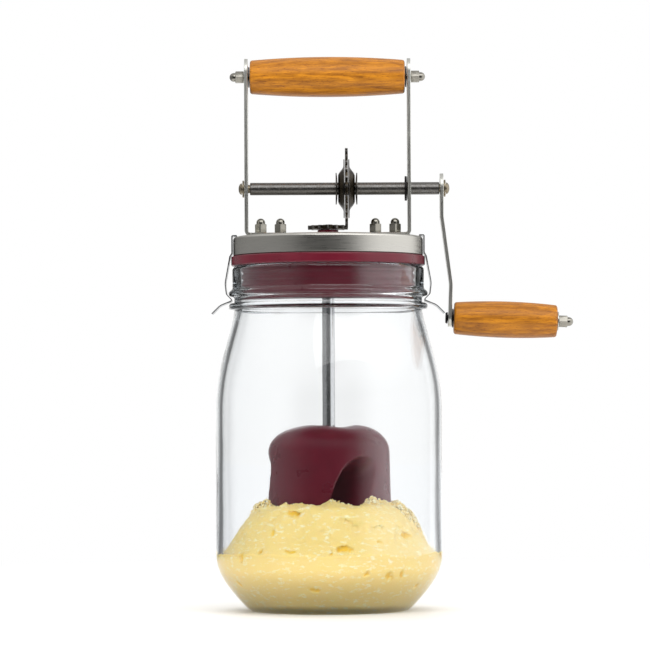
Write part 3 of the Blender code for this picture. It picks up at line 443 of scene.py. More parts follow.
def piece(name, shape, finish, body, nodes=(), placing=None, sharp=32.0):
    """A mesh in the frame, given its finish, its body and the CAD nodes it stands for."""
    if placing is not None:
        bmesh.ops.transform(shape, matrix=placing, verts=shape.verts)
    bmesh.ops.recalc_face_normals(shape, faces=shape.faces)
    mesh = bpy.data.meshes.new(name)
    shape.to_mesh(mesh)
    shape.free()
    mesh.materials.append(finish_named(finish))
    mesh.shade_smooth()
    mesh.set_sharp_from_angle(angle=radians(sharp))
    made = bpy.data.objects.new(name, mesh)
    bpy.context.scene.collection.objects.link(made)
    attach(made, body)
    if nodes:
        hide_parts(*nodes)
    return made


def lathe(profile, segments=96, closed=False, shape=None):
    """Turns (radius, height) points round Z. A radius of zero is a pole."""
    shape = shape or bmesh.new()
    rings = []
    for radius, height in profile:
        if radius < 1e-7:
            rings.append([shape.verts.new((0.0, 0.0, height))])
        else:
            angles = [2 * pi * i / segments for i in range(segments)]
            rings.append([shape.verts.new((radius * cos(a), radius * sin(a), height)) for a in angles])
    pairs = list(zip(rings, rings[1:]))
    if closed:
        pairs.append((rings[-1], rings[0]))
    for a, b in pairs:
        for i in range(segments):
            j = (i + 1) % segments
            corners = [a[i % len(a)], a[j % len(a)], b[j % len(b)], b[i % len(b)]]
            face = []
            for corner in corners:
                if corner not in face:
                    face.append(corner)
            if len(face) > 2:
                shape.faces.new(face)
    return shape


def eased_corners(profile, radius, steps=4, closed=False):
    """Rounds every corner of a profile by a radius, or by what its sides leave."""
    count = len(profile)
    result = []
    for i, point in enumerate(profile):
        if not closed and i in (0, count - 1):
            result.append(point)
            continue
        here = Vector(point)
        before = Vector(profile[i - 1]) - here
        after = Vector(profile[(i + 1) % count]) - here
        reach = min(radius, before.length * 0.45, after.length * 0.45)
        start = here + before.normalized() * reach
        end = here + after.normalized() * reach
        for k in range(steps + 1):
            t = k / steps
            spot = start * (1 - t) ** 2 + here * 2 * t * (1 - t) + end * t**2
            result.append((spot.x, spot.y))
    return result


def arc(centre, radius, start, end, steps):
    angles = [start + (end - start) * i / steps for i in range(steps + 1)]
    return [(centre[0] + radius * cos(a), centre[1] + radius * sin(a)) for a in angles]


def ring(inner, outer, low, high, edge=0.00012, segments=48):
    """A washer with broken edges."""
    corners = [(inner, high), (outer, high), (outer, low), (inner, low)]
    return lathe(eased_corners(corners, edge, 2, True), segments, True)


def bent_line(corners, bends):
    """A line through corners in the XZ plane, each bend an arc of its own middle radius."""
    line = [Vector(corners[0])]
    for before, corner, after, radius in zip(corners, corners[1:], corners[2:], bends):
        corner = Vector(corner)
        into = (corner - Vector(before)).normalized()
        out = (Vector(after) - corner).normalized()
        turn = into.angle(out)
        reach = radius * sin(turn / 2) / cos(turn / 2)
        side = (out - into * into.dot(out)).normalized()
        steps = max(3, round(turn / radians(7.0)))
        for i in range(steps + 1):
            a = turn * i / steps
            line.append(corner - into * reach + into * radius * sin(a) + side * radius * (1 - cos(a)))
    line.append(Vector(corners[-1]))
    return line


def strip(line, half_start, half_end, sheet, round_start, round_end, edge):
    """Flat steel bent along a line, with round ends where asked and broken edges."""
    lengths = [0.0]
    for a, b in zip(line, line[1:]):
        lengths.append(lengths[-1] + (b - a).length)
    total = lengths[-1]
    cap = [1 - cos(radians(a)) for a in (8, 16, 24, 34, 44, 54, 66, 78)]
    start_cap = half_start if round_start else 0.0
    end_cap = half_end if round_end else 0.0
    stations = [start_cap] + [s for s in lengths if start_cap < s < total - end_cap] + [total - end_cap]
    if round_start:
        stations = [start_cap * c for c in cap] + stations
    if round_end:
        stations = stations + [total - end_cap * c for c in reversed(cap)]
    shape = bmesh.new()
    rings = []
    for s in stations:
        k = max(i for i in range(len(line) - 1) if i == 0 or lengths[i] < s)
        share = (s - lengths[k]) / (lengths[k + 1] - lengths[k])
        point = line[k].lerp(line[k + 1], share)
        tangent = (line[k + 1] - line[k]).normalized()
        if share > 0.999 and k + 2 < len(line):
            tangent = (tangent + (line[k + 2] - line[k + 1]).normalized()).normalized()
        normal = Vector((-tangent.y, tangent.x))
        half = half_start + (half_end - half_start) * s / total
        if s < start_cap:
            half *= sqrt(max(0.0, 1 - ((start_cap - s) / start_cap) ** 2))
        if s > total - end_cap:
            half *= sqrt(max(0.0, 1 - ((s - total + end_cap) / end_cap) ** 2))
        thick = sheet / 2
        soft = min(edge, thick * 0.8, half * 0.5)
        section = [
            (-half + soft, -thick),
            (half - soft, -thick),
            (half, -thick + soft),
            (half, thick - soft),
            (half - soft, thick),
            (-half + soft, thick),
            (-half, thick - soft),
            (-half, -thick + soft),
        ]
        made = []
        for across, up in section:
            spot = point + normal * up
            made.append(shape.verts.new((spot.x, across, spot.y)))
        rings.append(made)
    for a, b in zip(rings, rings[1:]):
        for i in range(8):
            j = (i + 1) % 8
            shape.faces.new((a[i], a[j], b[j], b[i]))
    shape.faces.new(rings[0])
    shape.faces.new(rings[-1])
    return shape


def eased(share, power):
    return sin(pi / 2 * share) ** power


# Geometry node trees


def new_tree(name, inputs):
    """A geometry node tree with named inputs. Gives the tree, its input node and a way to end it."""
    tree = bpy.data.node_groups.new(name, "GeometryNodeTree")
    tree.interface.new_socket("Geometry", in_out="INPUT", socket_type="NodeSocketGeometry")
    for label, kind, default in inputs:
        socket = tree.interface.new_socket(label, in_out="INPUT", socket_type=kind)
        if default is not None:
            socket.default_value = default
    tree.interface.new_socket("Geometry", in_out="OUTPUT", socket_type="NodeSocketGeometry")
    return tree, tree.nodes.new("NodeGroupInput")


def end_tree(tree, start, geometry):
    """Every tree ends in real geometry with the finish that was asked for."""
    real = node(tree, "GeometryNodeRealizeInstances", {"Geometry": geometry})
    dressed = node(
        tree,
        "GeometryNodeSetMaterial",
        {"Geometry": real.outputs["Geometry"], "Material": start.outputs["Finish"]},
    )
    end = tree.nodes.new("NodeGroupOutput")
    tree.links.new(dressed.outputs["Geometry"], end.inputs["Geometry"])
    return tree


def grown(name, tree, values, finish, body, nodes=(), base=None, placing=None, sharp=32.0, edge=None):
    """Runs a tree on a base mesh, bakes the result to a plain mesh and gives it to its body."""
    holder = bpy.data.objects.new(name + "_seed", base or bpy.data.meshes.new(name + "_seed"))
    bpy.context.scene.collection.objects.link(holder)
    change = holder.modifiers.new("grow", "NODES")
    change.node_group = tree
    items = tree.interface.items_tree
    sockets = {item.name: item.identifier for item in items if item.in_out == "INPUT"}
    change[sockets["Finish"]] = finish_named(finish)
    for key, value in values.items():
        change[sockets[key]] = value
    holder.update_tag()
    baked = bpy.data.meshes.new_from_object(holder.evaluated_get(bpy.context.evaluated_depsgraph_get()))
    bpy.data.objects.remove(holder, do_unlink=True)
    shape = bmesh.new()
    shape.from_mesh(baked)
    bpy.data.meshes.remove(baked)
    bmesh.ops.remove_doubles(shape, verts=shape.verts, dist=0.000002)
    if edge:
        bmesh.ops.recalc_face_normals(shape, faces=shape.faces)
        hard = [e for e in shape.edges if len(e.link_faces) == 2 and e.calc_face_angle() > radians(50.0)]
        bmesh.ops.bevel(
            shape, geom=hard, offset=edge, segments=2, profile=0.6, affect="EDGES", clamp_overlap=True
        )
    return piece(name, shape, finish, body, nodes, placing, sharp)


def toothed_disc_tree():
    """A stamped disc: four corners a tooth on a circle, a bore, and the sheet's thickness."""
    tree, start = new_tree(
        "toothed_disc",
        [
            ("Teeth", "NodeSocketInt", 14),
            ("Tip radius", "NodeSocketFloat", 0.00975),
            ("Root radius", "NodeSocketFloat", 0.00765),
            ("Tip width", "NodeSocketFloat", 0.0010),
            ("Root width", "NodeSocketFloat", 0.00175),
            ("Bore radius", "NodeSocketFloat", 0.003),
            ("Sheet", "NodeSocketFloat", 0.0013),
            ("First angle", "NodeSocketFloat", 0.0),
            ("Finish", "NodeSocketMaterial", None),
        ],
    )
    teeth = start.outputs["Teeth"]
    corners = calc(tree, "MULTIPLY", teeth, 4.0)
    loop = node(tree, "GeometryNodeCurvePrimitiveCircle", {"Resolution": corners, "Radius": 1.0})
    index = node(tree, "GeometryNodeInputIndex").outputs["Index"]
    tooth = calc(tree, "FLOOR", calc(tree, "DIVIDE", index, 4.0))
    corner = calc(tree, "MODULO", index, 4.0)
    is_tip = calc(tree, "LESS_THAN", calc(tree, "ABSOLUTE", calc(tree, "SUBTRACT", corner, 1.5)), 1.0)
    late = calc(tree, "GREATER_THAN", corner, 1.5)
    side = calc(tree, "SUBTRACT", late, 0.5)

    def choose(tip, root):
        gap = calc(tree, "SUBTRACT", start.outputs[tip], start.outputs[root])
        return calc(tree, "ADD", start.outputs[root], calc(tree, "MULTIPLY", gap, is_tip))

    reach = choose("Tip radius", "Root radius")
    across = calc(tree, "MULTIPLY", choose("Tip width", "Root width"), side)
    turn = calc(tree, "DIVIDE", calc(tree, "MULTIPLY", tooth, 2 * pi), teeth)
    angle = calc(tree, "ADD", turn, start.outputs["First angle"])
    c, s = calc(tree, "COSINE", angle), calc(tree, "SINE", angle)
    x = calc(tree, "SUBTRACT", calc(tree, "MULTIPLY", reach, c), calc(tree, "MULTIPLY", across, s))
    y = calc(tree, "ADD", calc(tree, "MULTIPLY", reach, s), calc(tree, "MULTIPLY", across, c))
    spot = node(tree, "ShaderNodeCombineXYZ", {"X": x, "Y": y}).outputs["Vector"]
    outline = node(tree, "GeometryNodeSetPosition", {"Geometry": loop.outputs["Curve"], "Position": spot})
    bore = node(
        tree, "GeometryNodeCurvePrimitiveCircle", {"Resolution": 32, "Radius": start.outputs["Bore radius"]}
    )
    both = node(tree, "GeometryNodeJoinGeometry")
    tree.links.new(bore.outputs["Curve"], both.inputs["Geometry"])
    tree.links.new(outline.outputs["Geometry"], both.inputs["Geometry"])
    flat = node(tree, "GeometryNodeFillCurve", {"Curve": both.outputs["Geometry"]})
    half = calc(tree, "MULTIPLY", start.outputs["Sheet"], -0.5)
    drop = node(tree, "ShaderNodeCombineXYZ", {"Z": half}).outputs["Vector"]
    low = node(tree, "GeometryNodeSetPosition", {"Geometry": flat.outputs["Mesh"], "Offset": drop})
    rise = node(
        tree,
        "GeometryNodeExtrudeMesh",
        {"Mesh": low.outputs["Geometry"], "Offset Scale": start.outputs["Sheet"], "Individual": False},
    )
    under = node(tree, "GeometryNodeFlipFaces", {"Mesh": low.outputs["Geometry"]})
    whole = node(tree, "GeometryNodeJoinGeometry")
    tree.links.new(under.outputs["Mesh"], whole.inputs["Geometry"])
    tree.links.new(rise.outputs["Mesh"], whole.inputs["Geometry"])
    return end_tree(tree, start, whole.outputs["Geometry"])


def acorn_nuts_tree():
    """An acorn nut on each point of the seed mesh, pointing along the point's own direction."""
    tree, start = new_tree(
        "acorn_nuts",
        [
            ("Across flats", "NodeSocketFloat", 0.0055),
            ("Hexagon height", "NodeSocketFloat", 0.0034),
            ("Whole height", "NodeSocketFloat", 0.0068),
            ("Dome radius", "NodeSocketFloat", 0.0022),
            ("Finish", "NodeSocketMaterial", None),
        ],
    )
    corner = calc(tree, "DIVIDE", start.outputs["Across flats"], sqrt(3))
    hexagon = node(
        tree,
        "GeometryNodeMeshCylinder",
        {"Vertices": 6, "Radius": corner, "Depth": start.outputs["Hexagon height"], "Side Segments": 1},
    )
    middle = calc(tree, "MULTIPLY", start.outputs["Hexagon height"], 0.5)
    lift = node(tree, "ShaderNodeCombineXYZ", {"Z": middle}).outputs["Vector"]
    raised = node(
        tree,
        "GeometryNodeTransform",
        {"Geometry": hexagon.outputs["Mesh"], "Translation": lift, "Rotation": (0.0, 0.0, pi / 6)},
    )
    crown_radius = calc(tree, "MULTIPLY", start.outputs["Across flats"], 0.485)
    slope = calc(tree, "MULTIPLY", start.outputs["Hexagon height"], 1.732)
    cone = node(
        tree,
        "GeometryNodeMeshCone",
        {
            "Vertices": 60,
            "Radius Top": crown_radius,
            "Radius Bottom": calc(tree, "ADD", crown_radius, slope),
            "Depth": start.outputs["Hexagon height"],
        },
    )
    chamfered = node(tree, "GeometryNodeMeshBoolean", operation="INTERSECT", solver="EXACT")
    tree.links.new(raised.outputs["Geometry"], chamfered.inputs["Mesh 2"])
    tree.links.new(cone.outputs["Mesh"], chamfered.inputs["Mesh 2"])
    dome = node(
        tree,
        "GeometryNodeMeshUVSphere",
        {"Segments": 28, "Rings": 18, "Radius": start.outputs["Dome radius"]},
    )
    crown = calc(tree, "SUBTRACT", start.outputs["Whole height"], start.outputs["Dome radius"])
    top = node(tree, "ShaderNodeCombineXYZ", {"Z": crown}).outputs["Vector"]
    capped = node(tree, "GeometryNodeSetPosition", {"Geometry": dome.outputs["Mesh"], "Offset": top})
    neck = node(
        tree,
        "GeometryNodeMeshCylinder",
        {"Vertices": 28, "Radius": start.outputs["Dome radius"], "Depth": crown},
    )
    half_crown = calc(tree, "MULTIPLY", crown, 0.5)
    neck_lift = node(tree, "ShaderNodeCombineXYZ", {"Z": half_crown}).outputs["Vector"]
    necked = node(tree, "GeometryNodeSetPosition", {"Geometry": neck.outputs["Mesh"], "Offset": neck_lift})
    nut = node(tree, "GeometryNodeJoinGeometry")
    for part in (chamfered.outputs["Mesh"], capped.outputs["Geometry"], necked.outputs["Geometry"]):
        tree.links.new(part, nut.inputs["Geometry"])
    facing = node(tree, "GeometryNodeInputNamedAttribute", {"Name": "facing"}, data_type="FLOAT_VECTOR")
    turn = node(
        tree, "FunctionNodeAlignRotationToVector", {"Vector": facing.outputs["Attribute"]}, axis="Z"
    )
    points = node(tree, "GeometryNodeMeshToPoints", {"Mesh": start.outputs["Geometry"]})
    placed = node(
        tree,
        "GeometryNodeInstanceOnPoints",
        {
            "Points": points.outputs["Points"],
            "Instance": nut.outputs["Geometry"],
            "Rotation": turn.outputs["Rotation"],
        },
    )
    return end_tree(tree, start, placed.outputs["Instances"])


def crumbs_tree():
    """Loose crumbs of butter: small uneven lumps, thicker toward the crest, from a fixed seed."""
    tree, start = new_tree(
        "butter_crumbs",
        [
            ("Count", "NodeSocketInt", 500),
            ("Smallest", "NodeSocketFloat", 0.0003),
            ("Largest", "NodeSocketFloat", 0.0012),
            ("Seed", "NodeSocketInt", 7),
            ("Finish", "NodeSocketMaterial", None),
        ],
    )
    lump = node(tree, "GeometryNodeMeshIcoSphere", {"Radius": 1.0, "Subdivisions": 1})
    place = node(tree, "GeometryNodeInputPosition").outputs["Position"]
    rough = node(tree, "ShaderNodeTexNoise", {"Vector": place, "Scale": 1.4, "Detail": 2.0}).outputs["Color"]
    centred = node(tree, "ShaderNodeVectorMath", {0: rough, 1: (0.5, 0.5, 0.5)}, operation="SUBTRACT")
    push = node(tree, "ShaderNodeVectorMath", {0: centred.outputs["Vector"]}, operation="SCALE")
    push.inputs["Scale"].default_value = 1.3
    uneven = node(
        tree, "GeometryNodeSetPosition", {"Geometry": lump.outputs["Mesh"], "Offset": push.outputs["Vector"]}
    )
    area = node(tree, "GeometryNodeInputNamedAttribute", {"Name": "crumbly"}, data_type="FLOAT")
    per_area = calc(tree, "MULTIPLY", start.outputs["Count"], 5000.0)
    density = calc(tree, "MULTIPLY", per_area, area.outputs["Attribute"])
    spots = node(
        tree,
        "GeometryNodeDistributePointsOnFaces",
        {"Mesh": start.outputs["Geometry"], "Density": density, "Seed": start.outputs["Seed"]},
    )
    thick = node(
        tree,
        "FunctionNodeRandomValue",
        {"Min": start.outputs["Smallest"], "Max": start.outputs["Largest"], "Seed": start.outputs["Seed"]},
        data_type="FLOAT",
    )
    spin = node(tree, "FunctionNodeRandomValue", data_type="FLOAT_VECTOR")
    spin.inputs["Min"].default_value = (0.0, 0.0, 0.0)
    spin.inputs["Max"].default_value = (6.28, 6.28, 6.28)
    placed = node(
        tree,
        "GeometryNodeInstanceOnPoints",
        {
            "Points": spots.outputs["Points"],
            "Instance": uneven.outputs["Geometry"],
            "Scale": thick.outputs["Value"],
            "Rotation": spin.outputs["Value"],
        },
    )
    return end_tree(tree, start, placed.outputs["Instances"])


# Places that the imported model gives


def low(name):
    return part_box(name)[0]


def high(name):
    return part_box(name)[1]


def middle(name):
    return (Vector(low(name)) + Vector(high(name))) / 2


lid_top = high("steel_lid")[2]
skirt_bottom = low("steel_lid")[2]
lid_radius = high("steel_lid")[0]
seal_radius = high("lid_seal")[0]
plug_bottom = low("lid_seal")[2]
foot_top_gap = low("bracket_right")[2] - lid_top
crank_axis = Vector(joints["crank_turn"]["pos_m"])
handle_height = middle("handle_rod").z
grip_axis = Vector(joints["grip_spin"]["pos_m"])
grip_direction = Vector(joints["grip_spin"]["axis"]).normalized()

# Clearances: between seated faces, round a turning shaft and round a rod in its hole
gap = 0.0003
slip = 0.00015
rod_play = 0.0002

# The jar's bead hangs this far under the rim, and the ring under the bead
bead_drop = 0.0127
ring_drop = 0.0065
ring_half = 0.0025

# Both discs' teeth: width at the tip and at the root, and depth
tooth_tip = 0.0010
tooth_root = 0.00175
tooth_depth = 0.0021


def jar_wall(foot, body, throat, floor_height, throat_height, steps):
    """The wall from its foot up to the throat: heel, straight body, shoulder."""
    heel = 0.0270
    shoulder = 0.0459
    points = []
    for i in range(steps + 1):
        share = i / steps
        radius = foot + (body - foot) * eased(share, 0.92)
        points.append((radius, floor_height + (heel - floor_height) * share))
    for i in range(steps + 1):
        share = 1 - i / steps
        points.append((throat + (body - throat) * eased(share, 1.2), throat_height - shoulder * share))
    return points


def throat_height(sizes):
    return sizes.jar_height - bead_drop - ring_drop - ring_half


class CHURN_OT_jar(bpy.types.Operator):
    """Glass jar: one turned wall with its rim, bead, ring, shoulder and thick base"""

    bl_idname = "churn.jar"
    bl_label = "Glass jar"

    def execute(self, context):
        sizes = context.scene.churn_sizes
        top = sizes.jar_height
        bead = top - bead_drop
        ring_height = bead - ring_drop
        throat = sizes.jar_groove + 0.0002
        wall_top = throat_height(sizes)
        outer = [(0.0, 0.0)] + jar_wall(sizes.jar_foot, sizes.jar_radius, throat, 0.0, wall_top, 26)
        bulge = sizes.jar_bead - throat
        for i in range(13):
            angle = -pi / 2 + pi * i / 12
            outer.append((throat + bulge * sqrt(max(0.0, cos(angle))), ring_height + 0.0017 * sin(angle)))
        outer.append((sizes.jar_groove, ring_height + 0.0024))
        outer.append((sizes.jar_groove, bead - 0.0023))
        bead_shape = (
            (0.20, -0.95), (0.55, -0.82), (0.85, -0.58), (0.97, -0.36), (1.00, -0.12),
            (0.97, 0.12), (0.88, 0.36), (0.72, 0.62), (0.55, 0.86), (0.43, 1.10), (0.38, 1.30),
        )
        rise = sizes.jar_bead - sizes.jar_groove
        for reach, up in bead_shape:
            outer.append((sizes.jar_groove + rise * reach, bead + 0.0020 * up))
        outer += arc((sizes.jar_neck - 0.0018, top - 0.0018), 0.0018, 0.0, pi / 2, 8)
        mouth = sizes.jar_neck - sizes.jar_neck_wall
        inner = arc((mouth + 0.0009, top - 0.0009), 0.0009, pi / 2, pi, 5)
        foot, body = sizes.jar_foot - sizes.jar_wall, sizes.jar_radius - sizes.jar_wall
        inside = jar_wall(foot, body, mouth, sizes.jar_floor, wall_top, 26)
        inner += list(reversed(inside)) + [(0.0, sizes.jar_floor)]
        piece("jar_glass", lathe(outer + inner, 160), "glass", "jar", ("glass_jar",), sharp=55.0)
        return {"FINISHED"}


class CHURN_OT_lid(bpy.types.Operator):
    """Pressed steel lid, its silicone seal with the plug's ribs, and the shaft bush"""

    bl_idname = "churn.lid"
    bl_label = "Lid, seal and bush"

    def execute(self, context):
        sizes = context.scene.churn_sizes
        sheet = sizes.lid_sheet
        corner = (lid_radius - sizes.lid_round, lid_top - sizes.lid_round)
        hole = 0.0041
        outer = [(hole, lid_top)] + arc(corner, sizes.lid_round, pi / 2, 0.0, 10)
        rolled = arc((lid_radius - sheet / 2, skirt_bottom + sheet / 2), sheet / 2, 0.0, -pi, 5)
        inner = arc(corner, sizes.lid_round - sheet, 0.0, pi / 2, 6) + [(hole, lid_top - sheet)]
        piece("lid_steel", lathe(outer + rolled + inner, 160, True), "lid", "lid", ("steel_lid",))

        crest = sizes.jar_neck - sizes.jar_neck_wall - gap
        wall = 0.0046
        profile = [(crest - wall, plug_bottom), (crest - 0.0008, plug_bottom)]
        ribs = 4
        reach = sizes.jar_height - plug_bottom
        for i in range(ribs):
            foot = plug_bottom + 0.0008 + (reach - 0.0012) * i / ribs
            pitch = (reach - 0.0012) / ribs
            profile += [
                (crest - 0.0003, foot + pitch * 0.10),
                (crest, foot + pitch * 0.22),
                (crest, foot + pitch * 0.42),
                (crest - 0.0003, foot + pitch * 0.55),
                (crest - 0.0009, foot + pitch * 0.68),
                (crest - 0.0009, foot + pitch * 0.92),
            ]
        flange_bottom = sizes.jar_height + gap
        flange_top = skirt_bottom - gap
        profile.append((crest - 0.0009, flange_bottom))
        soft = 0.0008
        profile += arc((seal_radius - soft, flange_bottom + soft), soft, -pi / 2, 0.0, 6)
        profile += arc((seal_radius - soft, flange_top - soft), soft, 0.0, pi / 2, 6)
        cap = lid_radius - sheet - gap
        profile += [
            (cap, flange_top),
            (cap, lid_top - sheet - gap - sizes.lid_round),
            (cap - sizes.lid_round, lid_top - sheet - gap),
            (crest - wall, lid_top - sheet - gap),
        ]
        piece("seal_silicone", lathe(profile, 128, True), "silicone", "lid", ("lid_seal",), sharp=60.0)

        bore = sizes.shaft_radius + slip
        top = high("shaft_bush")[2]
        bottom = low("shaft_bush")[2]
        under = lid_top - sheet - gap
        profile = [
            (bore, bottom), (0.0060, bottom), (0.0060, under), (0.0040, under),
            (0.0040, lid_top + gap), (0.0050, lid_top + gap), (0.0050, top), (bore, top),
        ]
        shape = lathe(eased_corners(profile, 0.0004, 3, True), 48, True)
        piece("bush_silicone", shape, "silicone", "lid", ("shaft_bush",))
        return {"FINISHED"}


class CHURN_OT_brackets(bpy.types.Operator):
    """Two strip brackets that carry the handle and the crank shaft"""

    bl_idname = "churn.brackets"
    bl_label = "Brackets"

    def execute(self, context):
        sizes = context.scene.churn_sizes
        sheet = sizes.strip_sheet
        for label, side in (("left", -1), ("right", 1)):
            node_name = f"bracket_{label}"
            upright = high("bracket_right")[0] - sheet / 2
            foot_end = low("bracket_right")[0]
            foot_middle = lid_top + foot_top_gap + sheet / 2
            corners = [
                (side * foot_end, foot_middle),
                (side * upright, foot_middle),
                (side * upright, high(node_name)[2]),
            ]
            half = sizes.strip_width / 2
            line = bent_line(corners, [sizes.strip_bend])
            shape = strip(line, half, half, sheet, True, True, sizes.edge_break)
            piece(f"frame_bracket_{label}", shape, "strip", "lid", (node_name,), sharp=30.0)
        return {"FINISHED"}


class CHURN_OT_fixings(bpy.types.Operator):
    """Acorn nuts, screws and washers of the frame and the grip"""

    bl_idname = "churn.fixings"
    bl_label = "Nuts, screws and washers"

    def execute(self, context):
        sizes = context.scene.churn_sizes
        tree = acorn_nuts_tree()
        values = {
            "Across flats": sizes.nut_flats,
            "Hexagon height": sizes.nut_hex,
            "Whole height": sizes.nut_height,
            "Dome radius": sizes.nut_dome,
        }
        seats = []
        feet = [f"foot_nut_{side}_{place}" for side in ("left", "right") for place in ("inner", "outer")]
        for name in feet:
            seats.append(((middle(name).x, 0.0, low(name)[2]), (0.0, 0.0, 1.0)))
        seats.append(((low("handle_nut_right")[0], 0.0, handle_height), (1.0, 0.0, 0.0)))
        seats.append(((high("handle_nut_left")[0], 0.0, handle_height), (-1.0, 0.0, 0.0)))
        nodes = feet + ["handle_nut_left", "handle_nut_right"]
        base = self.seat_mesh("lid_nut_seats", seats)
        grown("acorn_nuts_lid", tree, values, "nut", "lid", nodes, base, sharp=30.0, edge=0.00012)
        tip = high("grip_nut")[0]
        along = (tip - grip_axis.x) / grip_direction.x - sizes.nut_height
        seat = Vector(grip_axis) + grip_direction * along
        base = self.seat_mesh("grip_nut_seat", [(tuple(seat), tuple(grip_direction))])
        grown("acorn_nut_grip", tree, values, "nut", "crank", ("grip_nut",), base, sharp=30.0, edge=0.00012)

        rod = sizes.rod_radius
        half = high("handle_rod")[0]
        across = along_x((0.0, 0.0, handle_height))
        shape = lathe([(0.0, -half), (rod, -half), (rod, half), (0.0, half)], 24)
        piece("tie_rod", shape, "strip", "lid", ("handle_rod",), across)
        # Painted shade: these dark discs stand for the shadow in the narrow gap between the beech and each
        # strip
        for name in ("handle_washer_left", "handle_washer_right"):
            shape = ring(rod + rod_play, high(name)[1], low(name)[0], high(name)[0], 0.0001)
            piece(f"{name}_disc", shape, "black", "lid", (name,), across)
        for name in feet:
            screw = name.replace("nut", "screw")
            foot, head = low(screw)[2], high(screw)[0] - middle(screw).x
            profile = [(0.0, foot), (head * 0.7, foot), (head, foot + 0.0008), (head, foot + 0.0015)]
            profile += [(rod, foot + 0.0015), (rod, high(screw)[2]), (0.0, high(screw)[2])]
            placing = Matrix.Translation((middle(screw).x, 0.0, 0.0))
            piece(f"{screw}_pan", lathe(profile, 32), "strip", "lid", (screw,), placing)
        return {"FINISHED"}

    def seat_mesh(self, name, seats):
        mesh = bpy.data.meshes.new(name)
        mesh.from_pydata([place for place, facing in seats], [], [])
        facing = mesh.attributes.new("facing", "FLOAT_VECTOR", "POINT")
        for value, (place, direction) in zip(facing.data, seats):
            value.vector = direction
        return mesh


def barrel(length, end, swell, bore, edge, segments=96):
    """A turned wooden handle from local Z 0 to its length, softly rounded at its ends."""
    outer = arc((end - edge, edge), edge, -pi / 2, 0.0, 6)
    for i in range(1, 24):
        share = i / 24
        height = edge + (length - 2 * edge) * share
        outer.append((end + (swell - end) * (1 - (2 * share - 1) ** 2), height))
    outer += arc((end - edge, length - edge), edge, 0.0, pi / 2, 6)
    return lathe([(bore, 0.0)] + outer + [(bore, length)], segments, True)


class CHURN_OT_top_handle(bpy.types.Operator):
    """Turned beech handle between the brackets"""

    bl_idname = "churn.top_handle"
    bl_label = "Top handle"

    def execute(self, context):
        sizes = context.scene.churn_sizes
        start, end = low("top_handle")[0], high("top_handle")[0]
        swell = (high("top_handle")[2] - low("top_handle")[2]) / 2
        shape = barrel(end - start, 0.0081, swell, sizes.rod_radius + rod_play, 0.0012)
        placing = along_x((start, 0.0, handle_height))
        piece("top_handle_beech", shape, "top_beech", "lid", ("top_handle",), placing, sharp=50.0)
        return {"FINISHED"}


class CHURN_OT_clips(bpy.types.Operator):
    """Two one-piece spring clips that hook over the lid and snap under the bead"""

    bl_idname = "churn.clips"
    bl_label = "Spring clips"

    def execute(self, context):
        sizes = context.scene.churn_sizes
        sheet = sizes.clip_sheet
        bead = sizes.jar_height - bead_drop
        skirt_face = lid_radius + gap + sheet / 2
        flange_face = seal_radius + gap + sheet / 2
        kink = (sizes.jar_groove + gap + sheet, bead - 0.0035)
        tab_end = (high("clip_right")[0] - sheet / 3, low("clip_right")[2] + sheet / 3)
        run, fall = tab_end[0] - kink[0], kink[1] - tab_end[1]
        corners = [
            (skirt_face - 0.0024, lid_top + gap + sheet / 2),
            (skirt_face, lid_top + gap + sheet / 2),
            (skirt_face, skirt_bottom + 0.0012),
            (flange_face, skirt_bottom - gap - 0.0003),
            (sizes.jar_bead + 0.0015, bead + 0.0046),
            (sizes.jar_bead + 0.0009, bead - 0.0005),
            kink,
            (kink[0] + run * 0.60, kink[1] - fall * 0.38),
            tab_end,
        ]
        bends = [0.0006, 0.0006, 0.0006, 0.0090, 0.0015, 0.0006, 0.0060]
        half = (high("clip_right")[1] - low("clip_right")[1]) / 2
        for label, side in (("left", -1), ("right", 1)):
            line = bent_line([(side * x, z) for x, z in corners], bends)
            shape = strip(line, half, half, sheet, False, False, 0.00012)
            piece(f"spring_clip_{label}", shape, "spring", "lid", (f"clip_{label}",), sharp=30.0)
        return {"FINISHED"}


